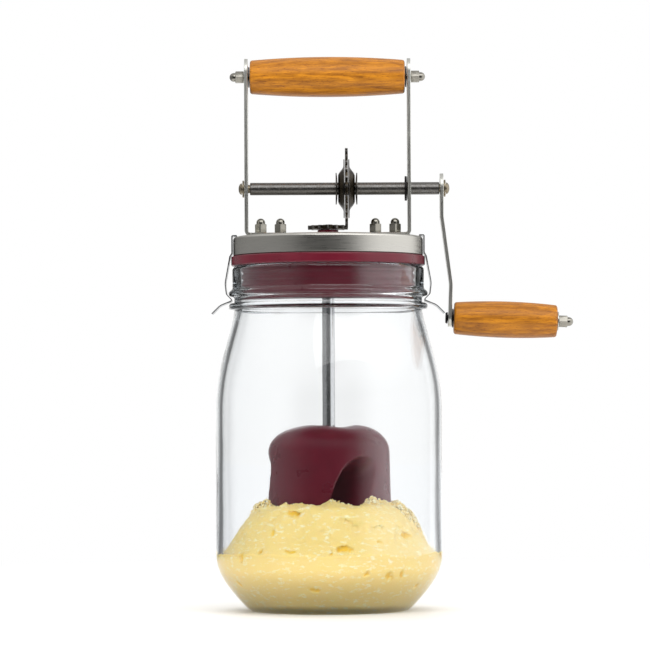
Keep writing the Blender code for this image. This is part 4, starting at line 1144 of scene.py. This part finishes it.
class CHURN_OT_crank(bpy.types.Operator):
    """Crank shaft, toothed drive disc with its pressed shells, washers and arm"""

    bl_idname = "churn.crank"
    bl_label = "Crank"

    def execute(self, context):
        sizes = context.scene.churn_sizes
        counts = context.scene.churn_counts
        placing = along_x(tuple(crank_axis))
        left, right = low("crank_shaft")[0], high("crank_shaft")[0]
        neck = 0.0020
        head = 0.0028
        dome = 0.0016
        shoulder = high("bracket_right")[0] - sizes.strip_sheet - 0.0009
        arm_inner = low("crank_arm")[0] - gap
        profile = [(0.0, -shoulder), (sizes.shaft_radius - 0.0003, -shoulder)]
        profile += [(sizes.shaft_radius, -shoulder + 0.0003), (sizes.shaft_radius, arm_inner - 0.0003)]
        profile += [(sizes.shaft_radius - 0.0003, arm_inner), (0.0, arm_inner)]
        piece("crank_rod", lathe(profile, 48), "gear", "crank", ("crank_shaft",), placing)
        for label, tip, sign in (("left", left, -1), ("right", right, 1)):
            base = tip - sign * dome
            rivet = [(0.0, tip)]
            for i in range(1, 9):
                angle = pi / 2 * i / 8
                rivet.append((head * sin(angle), base + sign * dome * cos(angle)))
            inner = -shoulder if sign < 0 else arm_inner
            rivet += [(neck, base), (neck, inner), (0.0, inner)]
            shape = lathe(rivet, 48)
            piece(f"peened_head_{label}", shape, "rivet", "crank", (), placing)
        washers = {
            "head_washer_left": ("rivet", neck), "head_washer_right": ("rivet", neck),
            "stop_washer": ("black", sizes.shaft_radius),
        }
        for name, (finish, bore) in washers.items():
            shape = ring(bore + slip, high(name)[1], low(name)[0], high(name)[0], 0.00015)
            piece(f"{name}_disc", shape, finish, "crank", (name,), placing)

        plane = middle("drive_disc").x
        tip = high("drive_disc")[1]
        values = {
            "Teeth": counts.drive_teeth, "Tip radius": tip, "Root radius": tip - tooth_depth,
            "Tip width": tooth_tip, "Root width": tooth_root, "Bore radius": sizes.shaft_radius + slip,
            "Sheet": high("drive_disc")[0] - low("drive_disc")[0], "First angle": 0.0,
        }
        disc_place = Matrix.Translation((plane, 0.0, crank_axis.z)) @ Matrix.Rotation(pi / 2, 4, "Y")
        grown("drive_gear", toothed_disc_tree(), values, "gear", "crank", ("drive_disc",),
              placing=disc_place, edge=sizes.edge_break * 0.8)
        face = (high("drive_disc")[0] - low("drive_disc")[0]) / 2 + gap
        bore = sizes.shaft_radius + slip
        sheet = 0.00045
        inner = [(0.0141, face), (0.0116, face)]
        for i in range(13):
            share = i / 12
            inner.append((0.0112 + (0.0060 - 0.0112) * share, face + 0.0026 * (1 - cos(pi * share)) / 2))
        inner.append((bore, face + 0.0026))
        loop = inner + [(radius, height + sheet) for radius, height in reversed(inner)]
        dish_face = face + 0.0026 + sheet + gap
        dish = [(bore, dish_face), (0.0046, dish_face + 0.0001), (0.0076, dish_face + 0.0004)]
        dish += [(0.0076, dish_face + 0.0009), (0.0046, dish_face + 0.0006), (bore, dish_face + 0.0005)]
        for label, sign in (("left", -1), ("right", 1)):
            side = Matrix.Translation((plane, 0.0, crank_axis.z)) @ Matrix.Rotation(sign * pi / 2, 4, "Y")
            shape = lathe(eased_corners(loop, 0.0001, 2, True), 96, True)
            piece(f"pressed_shell_{label}", shape, "gear", "crank", (f"hub_shell_{label}",), side, sharp=50.0)
            shape = lathe(eased_corners(dish, 0.0001, 2, True), 64, True)
            node_name = f"hub_washer_{label}"
            piece(f"dished_washer_{label}", shape, "gear", "crank", (node_name,), side, sharp=50.0)
        self.arm(sizes)
        return {"FINISHED"}

    def arm(self, sizes):
        sheet = 0.0016
        plane = low("crank_arm")[0] + sheet / 2
        throw = crank_axis.z - grip_axis.z
        lean = -grip_direction.z / grip_direction.x
        top_half, foot_half = 0.0071, 0.0042
        lower = throw * 0.74
        below = throw - lower + foot_half
        knee = grip_axis.x + (throw - lower) * lean
        corners = [
            (plane, crank_axis.z + top_half),
            (plane, crank_axis.z - throw * 0.22),
            (knee, crank_axis.z - lower),
            (knee - below * lean, crank_axis.z - lower - below),
        ]
        line = bent_line(corners, [0.012, 0.012])
        shape = strip(line, top_half, foot_half, sheet, True, True, sizes.edge_break)
        piece("crank_arm_strip", shape, "strip", "crank", ("crank_arm",), sharp=30.0)


class CHURN_OT_grip(bpy.types.Operator):
    """Turned beech grip and the screw and washers that it spins between"""

    bl_idname = "churn.grip"
    bl_label = "Crank grip"

    def execute(self, context):
        sizes = context.scene.churn_sizes
        placing = along_x(tuple(grip_axis), tuple(grip_direction))
        face = 0.0008 + gap
        start = face + 0.0005 + gap
        length = 0.0492
        rod = sizes.rod_radius
        shape = barrel(length, 0.0077, 0.0087, rod + rod_play, 0.0012)
        bmesh.ops.translate(shape, verts=shape.verts, vec=(0.0, 0.0, start))
        piece("crank_grip_beech", shape, "grip_beech", "grip", ("crank_grip",), placing, sharp=50.0)
        shape = ring(rod + rod_play, 0.0045, face, face + 0.0005, 0.0001)
        piece("grip_washer_dark", shape, "black", "crank", ("grip_washer_inner",), placing)
        outer = start + length + gap
        shape = ring(rod + rod_play, 0.0045, outer, outer + 0.0005, 0.0001)
        piece("grip_washer_bright", shape, "strip", "crank", ("grip_washer_outer",), placing)
        head = 0.0027
        depth = 0.00105
        profile = [(0.0, -face - depth), (head - 0.0004, -face - depth), (head, -face - depth + 0.0004)]
        profile += [(head, -face), (rod, -face), (rod, outer + 0.0040), (0.0, outer + 0.0040)]
        piece("grip_screw_dark", lathe(profile, 40), "black", "crank", ("grip_screw",), placing)
        return {"FINISHED"}


class CHURN_OT_beater(bpy.types.Operator):
    """Bright beater shaft with its toothed pinion and collar"""

    bl_idname = "churn.beater"
    bl_label = "Beater shaft and pinion"

    def execute(self, context):
        sizes = context.scene.churn_sizes
        counts = context.scene.churn_counts
        bottom, top = low("beater_shaft")[2], high("beater_shaft")[2]
        shoulder = low("pinion")[2] - gap
        neck = 0.0026
        profile = [(0.0, top), (neck - 0.0003, top), (neck, top - 0.0003), (neck, shoulder)]
        profile += [(sizes.shaft_radius, shoulder), (sizes.shaft_radius, bottom), (0.0, bottom)]
        piece("beater_rod", lathe(profile, 48), "rod", "beater", ("beater_shaft",))
        tip = 0.00975
        values = {
            "Teeth": counts.pinion_teeth, "Tip radius": tip, "Root radius": tip - tooth_depth,
            "Tip width": tooth_tip, "Root width": tooth_root, "Bore radius": neck + slip,
            "Sheet": high("pinion")[2] - low("pinion")[2], "First angle": pi / counts.pinion_teeth,
        }
        grown("pinion_gear", toothed_disc_tree(), values, "gear", "beater", ("pinion",),
              placing=Matrix.Translation((0.0, 0.0, middle("pinion").z)), edge=sizes.edge_break * 0.8)
        foot, top = low("shaft_collar")[2], high("shaft_collar")[2]
        shape = ring(sizes.shaft_radius + slip, 0.0050, foot, top, 0.0002)
        piece("collar_ring", shape, "strip", "beater", ("shaft_collar",))
        return {"FINISHED"}


class CHURN_OT_paddle(bpy.types.Operator):
    """Three lobes of moulded silicone that twist as they rise, each with a scoop in under its lip"""

    bl_idname = "churn.paddle"
    bl_label = "Paddle"

    shoulder_drop = 0.0128
    sweep = radians(82.0)
    first_edge = radians(-154.0)

    def execute(self, context):
        sizes = context.scene.churn_sizes
        foot, top = low("paddle")[2], high("paddle")[2]
        shoulder = top - self.shoulder_drop
        lobes = self.lobes(sizes, foot, top, shoulder)
        envelope = self.envelope(sizes, foot, top, shoulder)
        baked = self.moulded(lobes, envelope)
        shape = bmesh.new()
        shape.from_mesh(baked)
        bpy.data.meshes.remove(baked)
        piece("paddle_silicone", shape, "silicone", "beater", ("paddle",), sharp=80.0)
        return {"FINISHED"}

    def section(self, sizes, depth):
        """One lobe's outline after another: the round outside, the lip and the scoop, if it is that deep."""
        reach = sizes.paddle_radius + 0.0020
        lip = sizes.paddle_radius - 0.0020
        step = 2 * pi / 3
        scoop = 0.0070
        shares = (
            (1.0, -0.04), (0.62, -0.32), (0.25, -0.52), (0.0, -0.25),
            (0.06, 0.30), (0.35, 0.74), (0.78, 0.93),
        )
        points = []
        for k in range(3):
            outside = [(reach, self.sweep * i / 24) for i in range(25)]
            curve = []
            for i, (out, across) in enumerate(shares, 1):
                across = across if across > 0.0 else across * depth
                share = i / 8 + (across - i / 8) * depth
                radius = reach + (scoop + (lip - scoop) * out - reach) * depth
                curve.append((radius, self.sweep + (step - self.sweep) * share))
            curve = [Vector((r * cos(a), r * sin(a))) for r, a in [outside[-1]] + curve + [(reach, step)]]
            for _ in range(3):
                cut = [curve[0], curve[1]]
                for one, two in zip(curve[1:], curve[2:]):
                    cut += [one.lerp(two, 0.25), one.lerp(two, 0.75)]
                curve = cut + [curve[-1]]
            turn = Matrix.Rotation(k * step, 2)
            points += [turn @ Vector((r * cos(a), r * sin(a))) for r, a in outside]
            points += [turn @ point for point in curve[1:-1]]
        return points

    def lobes(self, sizes, foot, top, shoulder):
        low_end = foot - 0.0020
        fade_low = shoulder - 0.0180
        fade = 0.0215
        heights = [low_end + (fade_low - low_end) * i / 40 for i in range(41)]
        heights += [fade_low + fade * i / 16 for i in range(1, 17)] + [top + 0.0020]
        shape = bmesh.new()
        last = None
        for height in heights:
            turn = Matrix.Rotation(self.first_edge + radians(710.0) * (min(height, shoulder) - shoulder), 2)
            faded = min(1.0, max(0.0, (height - fade_low) / fade))
            section = self.section(sizes, (1 + cos(pi * faded)) / 2)
            row = [shape.verts.new((*(turn @ point), height)) for point in section]
            if last:
                for i in range(len(row)):
                    j = (i + 1) % len(row)
                    shape.faces.new((last[i], last[j], row[j], row[i]))
            else:
                shape.faces.new(row)
            last = row
        shape.faces.new(last)
        return shape

    def envelope(self, sizes, foot, top, shoulder):
        """The round outside with its dome, a crest on each lobe, and the socket for the shaft."""
        radius = sizes.paddle_radius
        full = radius - 0.0014
        crest, hub, dip = 0.0125, 0.0045, 0.0036
        soft = 0.0040
        profile = [(0.0, foot)] + arc((radius - soft, foot + soft), soft, -pi / 2, 0.0, 8)
        for i in range(25):
            angle = pi / 2 * i / 24
            profile.append((crest + (full - crest) * cos(angle), shoulder + self.shoulder_drop * sin(angle)))
        for i in range(1, 13):
            share = i / 12
            profile.append((crest + (hub - crest) * share, top - dip * (1 - cos(pi * share)) / 2))
        socket = sizes.shaft_radius + slip
        floor_height = low("beater_shaft")[2] - gap
        profile += [(socket, top - dip), (socket, floor_height), (0.0, floor_height)]
        shape = lathe(profile, 144)
        middle = self.first_edge + self.sweep / 2
        for point in shape.verts:
            if point.co.z > shoulder + 0.000001:
                reach = hypot(point.co.x, point.co.y)
                valley = (1 - cos(3 * (atan2(point.co.y, point.co.x) - middle))) / 2
                point.co.z -= (point.co.z - shoulder) * 0.09 * valley * min(1.0, reach / crest)
        return shape

    def moulded(self, lobes, envelope):
        """The lobes inside the envelope, with every edge softened as silicone leaves its mould."""
        made = []
        for name, shape in (("paddle_lobes", lobes), ("paddle_envelope", envelope)):
            bmesh.ops.recalc_face_normals(shape, faces=shape.faces)
            mesh = bpy.data.meshes.new(name)
            shape.to_mesh(mesh)
            shape.free()
            holder = bpy.data.objects.new(name, mesh)
            bpy.context.scene.collection.objects.link(holder)
            made.append(holder)
        body, cutter = made
        inside = body.modifiers.new("inside", "BOOLEAN")
        inside.operation = "INTERSECT"
        inside.solver = "EXACT"
        inside.object = cutter
        even = body.modifiers.new("even", "REMESH")
        even.mode = "VOXEL"
        even.voxel_size = 0.00065
        soften = body.modifiers.new("soften", "SMOOTH")
        soften.factor = 0.5
        soften.iterations = 9
        baked = bpy.data.meshes.new_from_object(body.evaluated_get(bpy.context.evaluated_depsgraph_get()))
        for holder in made:
            bpy.data.objects.remove(holder, do_unlink=True)
        return baked


class CHURN_OT_butter(bpy.types.Operator):
    """Fresh butter heaped round the paddle, clear of its sweep, with crumbs on the crest"""

    bl_idname = "churn.butter"
    bl_label = "Butter"

    # Degrees round from the front, height, half width, half height and depth of the pits
    pits = (
        (7.5, 0.0306, 0.0046, 0.0014, 0.0030), (-22.0, 0.0462, 0.0034, 0.0020, 0.0026),
        (33.0, 0.0183, 0.0024, 0.0019, 0.0022), (41.0, 0.0192, 0.0010, 0.0016, 0.0018),
        (20.0, 0.0197, 0.0014, 0.0009, 0.0016), (-8.5, 0.0130, 0.0028, 0.0008, 0.0014),
        (-39.0, 0.0300, 0.0014, 0.0012, 0.0018), (-21.0, 0.0297, 0.0030, 0.0006, 0.0014),
        (-52.0, 0.0270, 0.0018, 0.0022, 0.0020), (28.0, 0.0350, 0.0016, 0.0006, 0.0012),
        (49.0, 0.0360, 0.0030, 0.0016, 0.0020), (-33.0, 0.0385, 0.0012, 0.0014, 0.0014),
        (1.0, 0.0285, 0.0009, 0.0006, 0.0012), (-60.0, 0.0150, 0.0022, 0.0010, 0.0014),
        (58.0, 0.0135, 0.0012, 0.0008, 0.0014), (120.0, 0.0200, 0.0030, 0.0014, 0.0020),
        (165.0, 0.0320, 0.0040, 0.0014, 0.0026), (205.0, 0.0160, 0.0024, 0.0010, 0.0016),
        (240.0, 0.0250, 0.0016, 0.0018, 0.0018), (95.0, 0.0120, 0.0016, 0.0008, 0.0014),
        (185.0, 0.0240, 0.0014, 0.0009, 0.0016),
    )
    # Degrees round from the front, reach and spread of the heaps of crumbs
    clusters = (
        (36.0, 0.0335, 0.0040), (62.0, 0.0380, 0.0050), (74.0, 0.0405, 0.0045), (-78.0, 0.0345, 0.0035),
        (-58.0, 0.0350, 0.0025), (8.0, 0.0300, 0.0015), (48.0, 0.0300, 0.0020), (140.0, 0.0300, 0.0030),
    )

    def execute(self, context):
        sizes = context.scene.churn_sizes
        counts = context.scene.churn_counts
        if not counts.butter:
            return {"FINISHED"}
        well = sizes.paddle_radius + 0.0006
        well_foot = low("paddle")[2] - 0.0015
        wall = sizes.jar_radius - sizes.jar_wall + 0.0003
        segments = 520
        steps = self.steps()
        shape = bmesh.new()
        # Each point's share of a pit, which the finish paints a deeper yellow as shade
        painted_pit_shade = shape.verts.layers.float.new("painted_pit_shade")
        rings = [[] for _ in steps]
        for i in range(segments):
            a = 2 * pi * i / segments
            column = self.column(sizes, well, well_foot, wall, a, steps)
            for row, (r, z, loose) in zip(rings, column):
                spot, sunk = self.worked(r, z, a, loose, well, wall)
                vertex = shape.verts.new(spot)
                vertex[painted_pit_shade] = sunk
                row.append(vertex)
        for a, b in zip(rings, rings[1:]):
            for i in range(segments):
                j = (i + 1) % segments
                shape.faces.new((a[i], a[j], b[j], b[i]))
        shape.faces.new(rings[0])
        shape.faces.new(rings[-1])
        mound = piece("butter_mound", shape, "butter", "jar", (), sharp=80.0)
        self.crumbs(mound, sizes, counts, well)
        return {"FINISHED"}

    def steps(self):
        """(part, share) from the middle of the floor, up the glass, over the heap and down the well."""
        parts = (("floor", 5), ("heel", 34), ("wall", 10), ("heap", 78), ("well", 8), ("middle", 4))
        return [(part, i / count) for part, count in parts for i in range(1, count + 1)]

    def column(self, sizes, well, well_foot, wall, a, steps):
        """(radius, height, looseness) up one side. The heap is steep in front and slopes at the sides."""
        heel = 0.0225
        inside_foot = sizes.jar_foot - sizes.jar_wall
        floor_height = sizes.jar_floor - 0.0003
        front = max(0.0, -sin(a))
        slow = noise.noise(Vector((cos(a) * 2.2, sin(a) * 2.2, 6.0)))
        quick = noise.noise(Vector((cos(a) * 9.0, sin(a) * 9.0, 1.0)))
        side = sizes.butter_side + 0.0018 * slow + 0.0009 * quick
        steep = 1.45 + 4.5 * front**2
        points = []
        for part, share in steps:
            if part == "floor":
                points.append((inside_foot * 0.97 * share, floor_height, 0.0))
            elif part == "heel":
                r = inside_foot + 0.0003 + (wall - inside_foot - 0.0003) * eased(share, 0.92)
                points.append((r, floor_height + (heel - floor_height) * share, 0.0))
            elif part == "wall":
                points.append((wall, heel + (side - heel) * share, 0.0))
            elif part == "heap":
                share = share * (0.12 + 0.88 * share)
                r = wall - 0.0009 * min(1.0, share * 20.0) + (well + 0.0013 - wall) * share
                z = side + (sizes.butter_crest - side) * (1 - (1 - share) ** steep)
                points.append((r, z, min(1.0, share * 9.0)))
            elif part == "well":
                z = sizes.butter_crest + (well_foot - sizes.butter_crest) * share
                points.append((well, z, max(0.0, 0.6 - share * 4.0)))
            else:
                points.append((well * (1 - share * 0.98), well_foot, 0.0))
        return points

    def worked(self, r, z, a, loose, well, wall):
        """Folds, lumps and pits. The butter never leaves the jar or enters the paddle's sweep."""
        spot = Vector((r * cos(a), r * sin(a), z))
        broad = noise.noise(spot / 0.017 + Vector((3.1, 0.7, 5.2)))
        folds = noise.hetero_terrain(spot / 0.0075, 0.6, 2.1, 5, 0.4) - 0.6
        grit = noise.noise(spot / 0.0013)
        tear = noise.noise(Vector((cos(a) * 5.0, sin(a) * 5.0, 2.0)))
        crest = max(0.0, 1.0 - (r - well) / 0.010) if loose > 0.0 else 0.0
        spot.z += loose * (0.0016 * broad + 0.0012 * folds + 0.00035 * grit)
        spot.z += loose * crest * (0.0016 * broad + 0.0012 * tear)
        sink = loose * max(0.0, 0.0016 * (broad + 0.4) + 0.0013 * folds + 0.0003 * grit)
        # sunk: how far the point lies in a pit; the finish paints it a deeper yellow as painted shade
        sunk = 0.0
        if r > well + 0.002 and z > 0.008:
            for across, height, wide, tall, depth in self.pits:
                turn = (a - radians(across - 90.0) + pi) % (2 * pi) - pi
                u = turn * r / wide
                v = (z - height - 0.0004 * sin(u * 2.2 + across)) / tall
                uneven = noise.noise(spot / 0.0025 + Vector((across, 0.0, 0.0)))
                ragged = noise.noise(spot / 0.0011) + 0.8 * uneven
                away = u * u + v * v + 0.9 * ragged
                if away < 1.0:
                    sink += 0.6 * depth * (1.0 - max(0.0, away)) ** 0.5
                    sunk = max(sunk, min(1.0, 1.6 * (1.0 - max(0.0, away))))
        inner = min(wall, max(well, r - sink))
        scale = inner / max(r, 0.000001)
        return Vector((spot.x * scale, spot.y * scale, spot.z)), sunk

    def crumbs(self, mound, sizes, counts, well):
        """Crumbs lie on the crest in three thin layers."""
        layers = (("crumbs_low", 0.0004, 7), ("crumbs_middle", 0.0016, 11), ("crumbs_high", 0.0030, 5))
        for name, lift, seed in layers:
            self.scattered(name, mound, sizes, counts, well, lift, seed)

    def scattered(self, name, mound, sizes, counts, well, lift, seed):
        """One layer: each point of the mound says how crumbly it is."""
        base = mound.data.copy()
        base.attributes.new("crumbly", "FLOAT", "POINT")
        values = base.attributes["crumbly"].data
        for vertex, value in zip(base.vertices, values):
            reach = hypot(vertex.co.x, vertex.co.y)
            near = max(0.0, 1 - abs(reach - well - 0.0042) / 0.0048)
            up = 1.0 if vertex.co.z > sizes.butter_side + 0.003 else 0.0
            clump = 0.10 * near * max(0.0, noise.noise(vertex.co / 0.009 + Vector((9.0, 1.0, 4.0))) + 0.1)
            for around, out, spread_of in self.clusters:
                angle = radians(around - 90.0)
                away = hypot(vertex.co.x - out * cos(angle), vertex.co.y - out * sin(angle)) / spread_of
                clump += max(0.0, 1.0 - away**2)
            value.value = up * clump
            vertex.co.z += lift * min(1.0, clump)
        values = {"Count": counts.crumbs, "Smallest": 0.00022, "Largest": 0.00075, "Seed": seed}
        grown(name, crumbs_tree(), values, "crumbs", "jar", (), base, sharp=80.0)


class CHURN_OT_stage(bpy.types.Operator):
    """Pale floor, studio lamps, world and the camera"""

    bl_idname = "churn.stage"
    bl_label = "Studio"

    def execute(self, context):
        colours = context.scene.churn_colours
        self.floor(colours)
        self.world()
        self.lamps()
        self.camera()
        context.scene.view_settings.view_transform = "Standard"
        return {"FINISHED"}

    def level(self, tree, way):
        """How bright the studio is that way: dark in front, white behind and straight through the glass."""
        parts = node(tree, "ShaderNodeSeparateXYZ", {"Vector": way})
        level = 0.08
        # Behind, right, left and above: the axis, where it begins, where it is full, and what it adds
        sides = (
            ("Y", 0.86, 0.975, 1.12), ("X", 0.40, 0.85, 1.30),
            ("X", -0.35, -0.85, 0.30), ("Z", 0.25, 0.85, 0.70),
        )
        for axis, start, end, share in sides:
            part = spread(tree, parts.outputs[axis], 0.0, share, start, end, "SMOOTHSTEP")
            level = calc(tree, "ADD", part, level)
        path = node(tree, "ShaderNodeLightPath").outputs
        straight = calc(tree, "SUBTRACT", path["Is Transmission Ray"], path["Glossy Depth"], True)
        straight = calc(tree, "SUBTRACT", straight, path["Diffuse Depth"], True)
        clear = node(tree, "ShaderNodeMix", {"Factor": straight, "A": level, "B": 1.14}, data_type="FLOAT")
        return clear.outputs["Result"]

    def floor(self, colours):
        """Pale near the object. Far off it is white to the camera and gives mirrors the studio's level."""
        shape = bmesh.new()
        bmesh.ops.create_grid(shape, x_segments=2, y_segments=2, size=4.0)
        mesh = bpy.data.meshes.new("studio_floor")
        shape.to_mesh(mesh)
        shape.free()
        made = bpy.data.objects.new("studio_floor", mesh)
        made.location = (0.0, 0.0, -0.00005)
        bpy.context.scene.collection.objects.link(made)
        painted, tree, shader = new_finish("matt_floor_paint", Base_Color=rgba(colours.floor), Roughness=0.55)
        spot = node(tree, "ShaderNodeTexCoord").outputs["Object"]
        far = node(tree, "ShaderNodeVectorMath", {0: spot}, operation="LENGTH").outputs["Value"]
        fade = spread(tree, far, 0.0, 1.0, 0.10, 0.55, "SMOOTHSTEP")
        path = node(tree, "ShaderNodeLightPath").outputs
        camera_ray = path["Is Camera Ray"]
        mirrored = calc(tree, "MAXIMUM", path["Is Glossy Ray"], path["Is Transmission Ray"], True)
        mirrored = calc(tree, "SUBTRACT", mirrored, camera_ray, True)
        white = calc(tree, "MULTIPLY", camera_ray, fade, True)
        dark = calc(tree, "MULTIPLY", mirrored, fade, True)
        outward = node(tree, "ShaderNodeVectorMath", {0: spot}, operation="NORMALIZE").outputs["Vector"]
        level = self.level(tree, outward)
        glow = node(tree, "ShaderNodeEmission", {"Color": (1.0, 1.0, 1.0, 1.0), "Strength": 1.0})
        dim = node(tree, "ShaderNodeEmission", {"Color": (1.0, 1.0, 1.0, 1.0), "Strength": level})
        surface = shader.outputs["BSDF"]
        for share, light in ((dark, dim), (white, glow)):
            inputs = {0: share, 1: surface, 2: light.outputs["Emission"]}
            surface = node(tree, "ShaderNodeMixShader", inputs).outputs["Shader"]
        tree.links.new(surface, tree.nodes["Material Output"].inputs["Surface"])
        mesh.materials.append(painted)

    def world(self):
        """White to the camera. Mirrors and glass find the studio's level instead."""
        world = bpy.data.worlds.new("studio_world")
        world.use_nodes = True
        bpy.context.scene.world = world
        tree = world.node_tree
        tree.nodes.clear()
        way = node(tree, "ShaderNodeTexCoord").outputs["Generated"]
        level = self.level(tree, way)
        soft = node(tree, "ShaderNodeBackground", {"Color": (1.0, 0.995, 0.985, 1.0), "Strength": level})
        white = node(tree, "ShaderNodeBackground", {"Color": (1.0, 1.0, 1.0, 1.0), "Strength": 1.0})
        path = node(tree, "ShaderNodeLightPath")
        mix = node(
            tree,
            "ShaderNodeMixShader",
            {0: path.outputs["Is Camera Ray"], 1: soft.outputs["Background"], 2: white.outputs["Background"]},
        )
        out = tree.nodes.new("ShaderNodeOutputWorld")
        tree.links.new(mix.outputs["Shader"], out.inputs["Surface"])

    def lamps(self):
        """Four softboxes: place, aim, width, height, power, and whether steel may mirror them."""
        for name, place, aim, width, height, power, mirrored in (
            ("key_softbox", (0.35, -1.05, 1.25), (0.0, 0.0, 0.12), 1.90, 1.10, 11.5, True),
            ("left_fill_softbox", (-0.95, -1.05, 0.50), (0.0, 0.0, 0.08), 1.20, 0.50, 13.0, False),
            ("right_fill_softbox", (1.05, -0.95, 0.50), (0.0, 0.0, 0.08), 1.00, 0.50, 8.0, False),
            ("rear_softbox", (-0.20, 0.55, 1.25), (0.0, 0.0, 0.10), 1.20, 0.80, 9.0, False),
        ):
            lamp = bpy.data.lights.new(name, "AREA")
            lamp.shape = "RECTANGLE"
            lamp.size = width
            lamp.size_y = height
            lamp.energy = power
            made = bpy.data.objects.new(name, lamp)
            made.location = place
            made.visible_glossy = mirrored
            made.visible_transmission = False
            made.rotation_euler = (Vector(aim) - Vector(place)).to_track_quat("-Z", "Y").to_euler()
            bpy.context.scene.collection.objects.link(made)

    def camera(self):
        """The photograph's view: almost level, from far off, aimed a little above the jar's shoulder."""
        lens = bpy.data.cameras.new("photo_camera")
        lens.sensor_width = 36.0
        lens.lens = 182.8
        lens.clip_end = 20.0
        made = bpy.data.objects.new("photo_camera", lens)
        eye = Vector((0.0, -1.577, 0.0939))
        aim = Vector((-0.0016, 0.0, 0.1360))
        made.location = eye
        turn = (aim - eye).to_track_quat("-Z", "Y").to_matrix().to_4x4()
        made.rotation_euler = (turn @ Matrix.Rotation(radians(-0.25), 4, "Z")).to_euler()
        bpy.context.scene.collection.objects.link(made)
        bpy.context.scene.camera = made


operators = (
    CHURN_OT_jar,
    CHURN_OT_lid,
    CHURN_OT_brackets,
    CHURN_OT_fixings,
    CHURN_OT_top_handle,
    CHURN_OT_clips,
    CHURN_OT_crank,
    CHURN_OT_grip,
    CHURN_OT_beater,
    CHURN_OT_paddle,
    CHURN_OT_butter,
    CHURN_OT_stage,
)


class CHURN_PT_panel(bpy.types.Panel):
    """The churn's pieces, sizes and colours"""

    bl_idname = "CHURN_PT_panel"
    bl_label = "Butter churn"
    bl_space_type = "VIEW_3D"
    bl_region_type = "UI"
    bl_category = "Churn"

    def draw(self, context):
        column = self.layout.column(align=True)
        for operator in operators:
            column.operator(operator.bl_idname)
        for group in (context.scene.churn_sizes, context.scene.churn_counts, context.scene.churn_colours):
            column.separator()
            for name in group.bl_rna.properties.keys():
                if name not in ("rna_type", "name"):
                    column.prop(group, name)


classes = (ChurnSizes, ChurnCounts, ChurnColours, *operators, CHURN_PT_panel)


def register():
    for cls in classes:
        bpy.utils.register_class(cls)
    bpy.types.Scene.churn_sizes = PointerProperty(type=ChurnSizes)
    bpy.types.Scene.churn_counts = PointerProperty(type=ChurnCounts)
    bpy.types.Scene.churn_colours = PointerProperty(type=ChurnColours)


def unregister():
    del bpy.types.Scene.churn_colours
    del bpy.types.Scene.churn_counts
    del bpy.types.Scene.churn_sizes
    for cls in reversed(classes):
        bpy.utils.unregister_class(cls)


def main():
    register()
    for operator in operators:
        group, name = operator.bl_idname.split(".")
        result = getattr(getattr(bpy.ops, group), name)()
        if result != {"FINISHED"}:
            raise RuntimeError(f"{operator.bl_label} did not finish")


if __name__ == "__main__":
    main()
